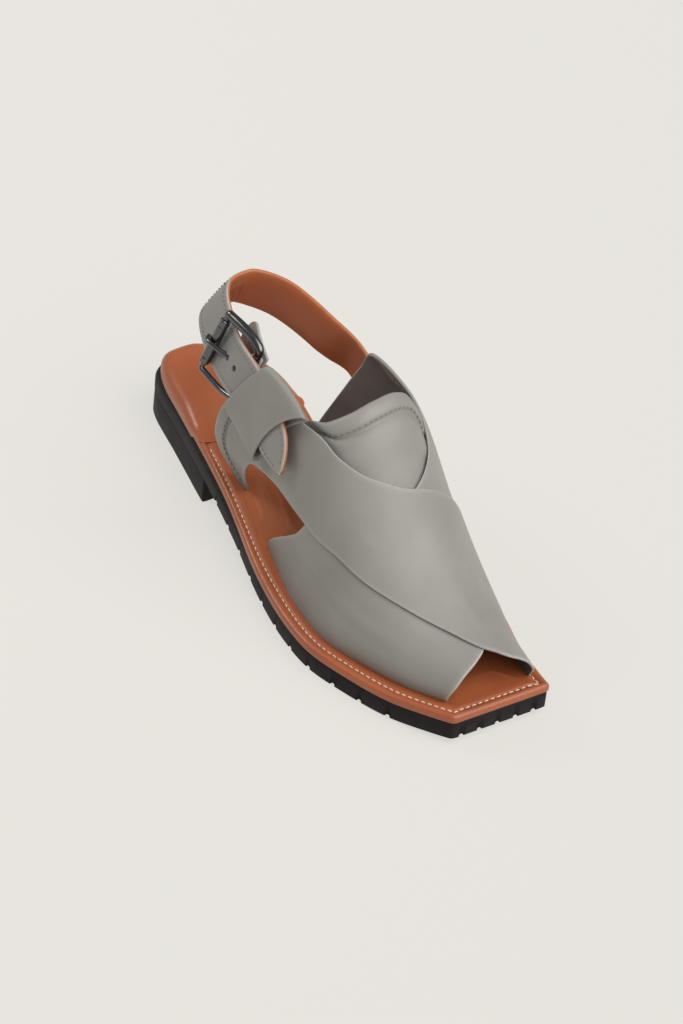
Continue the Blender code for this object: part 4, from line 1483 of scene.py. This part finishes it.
# %% Holes in the slingback
def round_cutter(name, middle, axis, radius, length):
    form = bmesh.new()
    bmesh.ops.create_cone(form, cap_ends=True, segments=32, radius1=radius, radius2=radius, depth=length)
    turn = Vector((0, 0, 1)).rotation_difference(Vector(axis)).to_matrix()
    bmesh.ops.rotate(form, cent=(0, 0, 0), matrix=turn, verts=form.verts)
    bmesh.ops.translate(form, vec=placed(middle), verts=form.verts)
    return object_from(form, name)


for k in range(2):
    hole_middle, _, _, hole_out = band_frame(row_after(BUCKLE_ROW, HOLE_PITCH * k))
    cut_away(slingback, round_cutter("hole_cutter", hole_middle, hole_out, HOLE_RADIUS, 0.01))
settle(slingback, "grey_leather", "slingback")

# %% Slingback stitches
SEAM_HALF = 0.0095
band_up = sheet_normals(outer, inner)
low = row_beside(outer, band_up, BAND_STITCH, 1, first=0.03, last=0.985)
high = row_beside(outer, band_up, BAND_STITCH, 1, from_end=True, first=0.03, last=0.985)
middle, _, width, out = band_frame(np.full(12, row_after(6, 0.012)))
seam = middle + width * np.linspace(-SEAM_HALF, SEAM_HALF, 12)[:, None]
seam = seam + out * (BAND_LEATHER / 2 + BAND_CROWN)
stitch_row(
    "slingback_stitches", [low[0], high[0], seam], [low[1], high[1], out], 0.0029, 0.0006, GREY_THREAD
)

# %% [markdown]
# ## Keeper and buckle leathers
#
# The keeper is a wide loop sewn down beside the top strap; the slingback's tail runs through it. Its front
# edge is cut in a bow, so it is wider there than at the buckle. The buckle hangs in a folded strap that
# leaves the keeper, and a round-ended tab lies behind the buckle against the foot.

# %% Keeper loop
# along and around of the low edge and of the high edge on the last, and the strap's lift
KEEPER = (
    (0.345, 0.146, 0.412, 0.300, 0.0045),
    (0.362, 0.135, 0.440, 0.298, 0.0030),
    (0.385, 0.124, 0.470, 0.294, 0.0014),
    (0.412, 0.113, 0.500, 0.289, 0.0004),
    (0.438, 0.107, 0.528, 0.283, 0.0000),
)
KEEPER_LOW = TOP_STRAP_OUTSIDE + GAP
KEEPER_BOW = 0.013
KEEPER_HALF = 0.0165
KEEPER_SQUARE = (0.45, 0.55)


def keeper_surface(u, t, out_by, lift_share):
    """A point over the last between the keeper's low edge (t = 0) and high edge (t = 1)."""
    row = catmull(KEEPER, u * (len(KEEPER) - 1))
    along = row[..., 0] + (row[..., 2] - row[..., 0]) * t
    around = row[..., 1] + (row[..., 3] - row[..., 1]) * t
    bow = KEEPER_BOW * np.sin(np.pi * np.clip(t, 0, 1)) * smooth((u - 0.5) / 0.5)
    return last_point(along - bow, around, out_by + lift_share * row[..., 4])


def keeper_loop(grow):
    """The loop's outer face (grow = leather) or inner face (grow = 0) as a closed grid."""
    angles = np.linspace(0, 2 * np.pi, 121)
    u, angle = np.meshgrid(np.linspace(0, 1, 40), angles, indexing="ij")
    across = np.sign(np.cos(angle)) * np.abs(np.cos(angle)) ** KEEPER_SQUARE[0]
    over = np.sign(np.sin(angle)) * np.abs(np.sin(angle)) ** KEEPER_SQUARE[1]
    low = KEEPER_LOW + KEEPER_LEATHER - grow
    high = TAIL_OFF + BAND_LEATHER / 2 + BAND_CROWN + GAP + grow
    t = 0.5 + 0.5 * across * (1 + (grow - KEEPER_LEATHER) / KEEPER_HALF)
    off = (low + high) / 2 + (high - low) / 2 * over
    return keeper_surface(u, t, off, 0.5 + 0.5 * over)


def rounded_edge(start, end, way, steps=4):
    """Rings over a cut edge, from one face's rim to the other's."""
    rings = []
    for k in range(1, steps):
        angle = np.pi * k / steps
        swell = way * 0.4 * KEEPER_LEATHER * math.sin(angle)
        rings.append((start + end) / 2 + (start - end) / 2 * math.cos(angle) + swell)
    return rings


def tube_sheet(name, outer, inner, paints):
    """A closed band: two grids whose second axis runs round, joined by two rounded edges."""
    outer, inner = outer[:, :-1], inner[:, :-1]
    front = rounded_edge(outer[-1], inner[-1], unit(outer[-1] - outer[-2]))
    rear = rounded_edge(inner[0], outer[0], unit(outer[0] - outer[1]))
    rings = [*outer, *front, *inner[::-1], *rear]
    wear = [1.0] + [0.0] * (len(outer) - 2) + [1.0]
    wear += [1.0] * len(front) + [0.0] * len(inner) + [1.0] * len(rear)
    sides = outer.shape[1]
    faces = ring_faces(len(rings), sides, closed=True)
    return new_piece(name, np.concatenate(rings), faces, paints, wear=np.repeat(wear, sides))


keeper = tube_sheet("keeper_loop", keeper_loop(KEEPER_LEATHER), keeper_loop(0.0), [GREY_LEATHER])
settle(keeper, "grey_leather", "keeper")

# %% Strap that holds the buckle
def buckle_axes():
    """The bar's and the roller's middle, the way from bar to roller, across the strap and outward."""
    bar_middle, _, width, bar_out = band_frame(row_after(BUCKLE_ROW, BUCKLE_LENGTH / 2))
    roller_middle, _, _, roller_out = band_frame(row_after(BUCKLE_ROW, -BUCKLE_LENGTH / 2))
    under = BAND_LEATHER / 2 + GAP + CHAPE_LEATHER + GAP + BUCKLE_WIRE / 2
    over = BAND_LEATHER / 2 + ROLLER_GAP + ROLLER_RADIUS
    bar = bar_middle - bar_out * under
    roller = roller_middle + roller_out * over
    toward = unit(roller - bar)
    width = unit(width - toward * float(width @ toward))
    return bar, roller, toward, width, np.cross(-toward, width)


BAR, ROLLER, TOWARD, ACROSS, OUTWARD = buckle_axes()
FRAME_LENGTH = float(np.linalg.norm(ROLLER - BAR))
CHAPE_DEPTH = BAND_LEATHER / 2 + GAP + CHAPE_LEATHER / 2
CHAPE_START = 0.030
CHAPE_BEND = 0.0035
WRAP_RADIUS = BUCKLE_WIRE / 2 + GAP + CHAPE_LEATHER / 2


def chape_rail():
    """Places, widths and normals along the strap: flat under the slingback, then round the bar."""
    first = row_after(BUCKLE_ROW, CHAPE_START)
    last = row_after(row_after(BUCKLE_ROW, BUCKLE_LENGTH / 2), CHAPE_BEND)
    middle, _, across, out = band_frame(np.linspace(first, last, 9))
    rail = [(m - o * CHAPE_DEPTH, a, o) for m, a, o in zip(middle, across, out)]
    for angle in np.radians(np.arange(80, -170, -20)):
        normal = TOWARD * math.cos(angle) + OUTWARD * math.sin(angle)
        rail.append((BAR + normal * WRAP_RADIUS, ACROSS, normal))
    return [np.concatenate(item) for item in rail]


CHAPE_RAIL = chape_rail()


def chape_grids():
    u, v = np.meshgrid(np.linspace(0, 1, 120), np.linspace(0, 1, 18), indexing="ij")
    spot = catmull(CHAPE_RAIL, u * (len(CHAPE_RAIL) - 1))
    normal = unit(spot[..., 6:])
    middle = spot[..., :3] + spot[..., 3:6] * ((2 * v - 1) * CHAPE_WIDTH / 2)[..., None]
    return middle + normal * CHAPE_LEATHER / 2, middle - normal * CHAPE_LEATHER / 2


chape = leather_sheet("chape_leather", *chape_grids(), GREY_SHEET)

# %% [markdown]
# ## The buckle
#
# The frame is a cast ring, a little thicker at one side rail. A sleeve turns on the far rail, and the prong
# is a bent wire that rests on it. Frame and prong are wires swept along a path, so one function makes both,
# and the prong's path, a little thicker, also cuts its slot in the folded strap.

# %% Wires
def wire_solid(name, path, radius, paint, closed=False, sides=20, flat=1.0):
    """A wire along a path; radius is one number or one per point, flat squeezes it outward."""
    path = np.asarray(path, float)
    count = len(path)
    radius = np.broadcast_to(radius, count)
    tangent = unit(np.roll(path, -1, 0) - np.roll(path, 1, 0) if closed else np.gradient(path, axis=0))
    side = unit(np.cross(tangent, OUTWARD))
    upward = np.cross(side, tangent)
    angles = np.arange(sides) * 2 * math.pi / sides
    ring = side[:, None] * np.cos(angles)[:, None] + upward[:, None] * (flat * np.sin(angles))[:, None]
    points = path[:, None] + ring * radius[:, None, None]
    faces = ring_faces(count, sides, closed) + ([] if closed else end_faces(count, sides))
    return new_piece(name, points.reshape(-1, 3), faces, [paint])


def rounded_ends(path, radius, cap=6):
    """Adds points and radii that close a wire's ends as half balls."""
    path = np.asarray(path, float)
    radius = np.broadcast_to(radius, len(path)).copy()
    starts, ends, start_radii, end_radii = [], [], [], []
    for k in range(1, cap + 1):
        angle = math.pi / 2 * k / cap
        reach, share = math.sin(angle), max(math.cos(angle), 0.08)
        starts.append(path[0] - unit(path[1] - path[0]) * radius[0] * reach)
        ends.append(path[-1] + unit(path[-1] - path[-2]) * radius[-1] * reach)
        start_radii.append(radius[0] * share)
        end_radii.append(radius[-1] * share)
    full = np.vstack([starts[::-1], path, ends])
    return full, np.concatenate([start_radii[::-1], radius, end_radii])


def smooth_path(points, count):
    return catmull([tuple(p) for p in points], np.linspace(0, len(points) - 1, count))


# %% Buckle frame
# share from the bar to the roller, share across, and the wire's thickness against the bar's
FRAME_HALF = (
    (0.00, 0.00, 0.85),
    (0.00, 0.45, 0.85),
    (0.00, 0.80, 0.90),
    (0.03, 0.96, 1.00),
    (0.14, 1.04, 1.06),
    (0.35, 1.10, 1.12),
    (0.60, 1.10, 1.12),
    (0.88, 1.08, 1.06),
    (0.985, 1.06, 1.00),
    (1.00, 0.90, 0.80),
    (1.00, 0.45, 0.80),
    (1.00, 0.00, 0.80),
)
FRAME_HALF_WIDTH = 1.09 * (BUCKLE_INSIDE / 2 + BUCKLE_WIRE / 2)
FRAME_THICK = 1.20
FRAME_THICKER_SIDE = 0.22
half_curve = catmull(FRAME_HALF, np.linspace(0, len(FRAME_HALF) - 1, 120))
frame_path = np.vstack([half_curve, (half_curve * (1, -1, 1))[::-1][1:-1]])
toward, side, thick = frame_path[:, :1], frame_path[:, 1:2], frame_path[:, 2]
frame_points = BAR + TOWARD * FRAME_LENGTH * toward + ACROSS * FRAME_HALF_WIDTH * side
frame_radius = BUCKLE_WIRE / 2 * thick * (FRAME_THICK + FRAME_THICKER_SIDE * side[:, 0])
frame_wire = wire_solid("frame_wire", frame_points, frame_radius, METAL, closed=True, flat=0.92)
settle(frame_wire, "gunmetal", "buckle_frame")

# %% Roller
ROLLER_HALF = BUCKLE_INSIDE / 2 + BUCKLE_WIRE * 0.15
ROLLER_GROOVE = 0.07
ROLLER_PLAY = 0.0002
ROLLER_SIDES = 48


def roller_solid():
    """A turned sleeve with two shallow grooves near its ends."""
    profile = []
    for share in np.linspace(-1, 1, 61):
        edge = 1 - ridge(abs(share), 0.72, 0.03) * ROLLER_GROOVE
        rounding = math.sqrt(max(0.0, 1 - max(0.0, (abs(share) - 0.95) / 0.05) ** 2 * 0.3))
        profile.append((share * ROLLER_HALF, ROLLER_RADIUS * edge * rounding))
    bore = BUCKLE_WIRE / 2 * 0.8 + ROLLER_PLAY
    profile = [(-ROLLER_HALF, bore)] + profile + [(ROLLER_HALF, bore)]
    angles = np.arange(ROLLER_SIDES) * 2 * math.pi / ROLLER_SIDES
    turn = TOWARD * np.cos(angles)[:, None] + OUTWARD * np.sin(angles)[:, None]
    points = np.vstack([ROLLER + ACROSS * along + turn * radius for along, radius in profile])
    faces = ring_faces(len(profile), ROLLER_SIDES, closed=True)
    made = new_piece("roller_sleeve", points, faces, [METAL])
    made.data.set_sharp_from_angle(angle=SHARP_ANGLE)
    return made


settle(roller_solid(), "gunmetal", "buckle_roller")

# %% Prong
# share from the bar to the roller and share of the height at which it rests
PRONG_RUN = (
    (0.18, -0.02),
    (0.32, 0.0),
    (0.45, 0.12),
    (0.60, 0.42),
    (0.78, 0.80),
    (0.93, 1.0),
)
PRONG_POINTS = 100
PRONG_ROOM = 0.0003
hook = BUCKLE_WIRE / 2 + GAP + PRONG_WIRE / 2
rest = ROLLER_RADIUS + GAP + PRONG_WIRE / 2
prong_points = []
for angle in np.radians(np.arange(-5, -181, -25))[::-1] * -1:
    prong_points.append(BAR + TOWARD * hook * math.cos(angle) - OUTWARD * hook * math.sin(angle))
for share, lift in PRONG_RUN:
    prong_points.append(BAR + TOWARD * FRAME_LENGTH * share + OUTWARD * rest * lift)
for angle in np.radians((75, 45, 15)):
    prong_points.append(ROLLER + TOWARD * rest * math.cos(angle) + OUTWARD * rest * math.sin(angle))
prong_path = smooth_path(prong_points, PRONG_POINTS)
toward_tip = smooth((np.linspace(0, 1, PRONG_POINTS) - 0.55) / 0.45)
prong_path, prong_radius = rounded_ends(prong_path, PRONG_WIRE / 2 * (1.35 - 0.35 * toward_tip))
settle(wire_solid("prong_wire", prong_path, prong_radius, METAL), "gunmetal", "buckle_prong")

# %% Room for the prong
room_path = smooth_path(prong_points, 60)
cut_away(chape, wire_solid("prong_room", room_path, PRONG_WIRE / 2 + PRONG_ROOM, METAL, sides=16))
settle(chape, "grey_leather", "buckle_strap")

# %% Underlay tab
UNDERLAY_DEPTH = CHAPE_DEPTH + CHAPE_LEATHER / 2 + GAP + BUCKLE_WIRE + 2 * (GAP + CHAPE_LEATHER) - GAP
UNDERLAY_DEPTH += UNDERLAY_LEATHER / 2 - CHAPE_LEATHER
UNDERLAY_END = 0.0105
UNDERLAY_SHIFT_FIRST = 0.0020
UNDERLAY_SHIFT_LAST = 0.0092
first_row = row_after(BUCKLE_ROW, BUCKLE_LENGTH * 0.55)
last_row = row_after(BUCKLE_ROW, -BUCKLE_LENGTH * 0.70)
u, v = np.meshgrid(1 - (1 - np.linspace(0, 1, 90)) ** 1.5, edge_spaced(24), indexing="ij")
underlay_length = float(np.subtract(*np.interp((first_row, last_row), FINE_ROWS, FINE_REACH)))
round_end = 1 - np.clip((1 - u) * underlay_length / UNDERLAY_END, 0, 1)
half = CHAPE_WIDTH / 2 * (0.15 + 0.85 * np.sqrt(1 - round_end**2))
middle, _, width, out = band_frame(first_row + (last_row - first_row) * u)
shift = UNDERLAY_SHIFT_FIRST + (UNDERLAY_SHIFT_LAST - UNDERLAY_SHIFT_FIRST) * u
spot = middle + width * (shift + (2 * v - 1) * half)[..., None]
outer = spot - out * (UNDERLAY_DEPTH - UNDERLAY_LEATHER / 2)
inner = spot - out * (UNDERLAY_DEPTH + UNDERLAY_LEATHER / 2)
settle(leather_sheet("underlay_tab", outer, inner, GREY_SHEET), "grey_leather", "underlay")

# %% [markdown]
# ## Stage
#
# The shoe stands on a pale floor in soft light: a wide sun from the toe's inner side, a small lamp whose
# reflection makes the gloss on the heel cushion, and a pale surround that fills the shade. The camera looks
# down from the toe's outer side with a long lens, as in the photo.

# %% Floor
FLOOR_SIZE = 60.0
FLOOR_SHADE = (0.13, 0.127, 0.121, 1.0)
FLOOR_GLOW = (0.799, 0.776, 0.730, 1.0)
FLOOR_GLOW_STRENGTH = 0.80


def floor_material():
    """A pale floor that glows a little, like a lit table, so shadows on it stay faint."""
    paint, _, shader = new_material("pale_floor", Roughness=0.9, Specular_IOR_Level=0.0)
    shader.inputs["Base Color"].default_value = FLOOR_SHADE
    shader.inputs["Emission Color"].default_value = FLOOR_GLOW
    shader.inputs["Emission Strength"].default_value = FLOOR_GLOW_STRENGTH
    return paint


bpy.ops.mesh.primitive_plane_add(size=FLOOR_SIZE, location=(0, 0, 0))
floor = bpy.context.active_object
floor.name = "floor"
floor.data.materials.append(floor_material())

# %% Lamps
VIEW_POINT = Vector((0.00166, 0.00937, 0.03026))
SURROUND_COLOUR = (0.95, 0.94, 0.92, 1.0)
SURROUND_STRENGTH = 0.27


def shine(name, data, azimuth, elevation, distance):
    """Puts a lamp at an azimuth and an elevation in degrees, facing the view point."""
    made = linked(name, data)
    turn, rise = math.radians(azimuth), math.radians(elevation)
    way = Vector((math.cos(turn) * math.cos(rise), math.sin(turn) * math.cos(rise), math.sin(rise)))
    made.location = VIEW_POINT + way * distance
    made.rotation_euler = way.to_track_quat("Z", "Y").to_euler()
    print(name, "shines from azimuth", azimuth, "and elevation", elevation)


sun = bpy.data.lights.new("key_sun", "SUN")
sun.energy = 3.4
sun.angle = math.radians(70)
shine("key_sun", sun, azimuth=18, elevation=52, distance=1.0)
gloss = bpy.data.lights.new("gloss_lamp", "AREA")
gloss.energy = 6.0
gloss.size = 0.45
shine("gloss_lamp", gloss, azimuth=215, elevation=42, distance=1.5)

world = bpy.data.worlds.new("surround")
world.use_nodes = True
background = world.node_tree.nodes["Background"]
background.inputs["Color"].default_value = SURROUND_COLOUR
background.inputs["Strength"].default_value = SURROUND_STRENGTH
bpy.context.scene.world = world
bpy.context.scene.view_settings.view_transform = "Standard"

# %% Camera
CAMERA_DISTANCE = 2.524
CAMERA_LENS = 174.6
CAMERA_RIGHT = Vector((0.564, 0.821, 0.0896))
CAMERA_UP = Vector((-0.571, 0.309, 0.761))
CAMERA_BACK = Vector((0.597, -0.480, 0.643))
camera_data = bpy.data.cameras.new("camera")
camera_data.lens = CAMERA_LENS
camera_data.sensor_width = 36.0
camera_data.clip_end = 20.0
camera = linked("camera", camera_data)
turn = Matrix((CAMERA_RIGHT, CAMERA_UP, CAMERA_BACK)).transposed()
camera.location = VIEW_POINT + CAMERA_BACK.normalized() * CAMERA_DISTANCE
camera.rotation_euler = turn.to_euler()
bpy.context.scene.camera = camera
print("camera distance and lens:", CAMERA_DISTANCE, CAMERA_LENS)
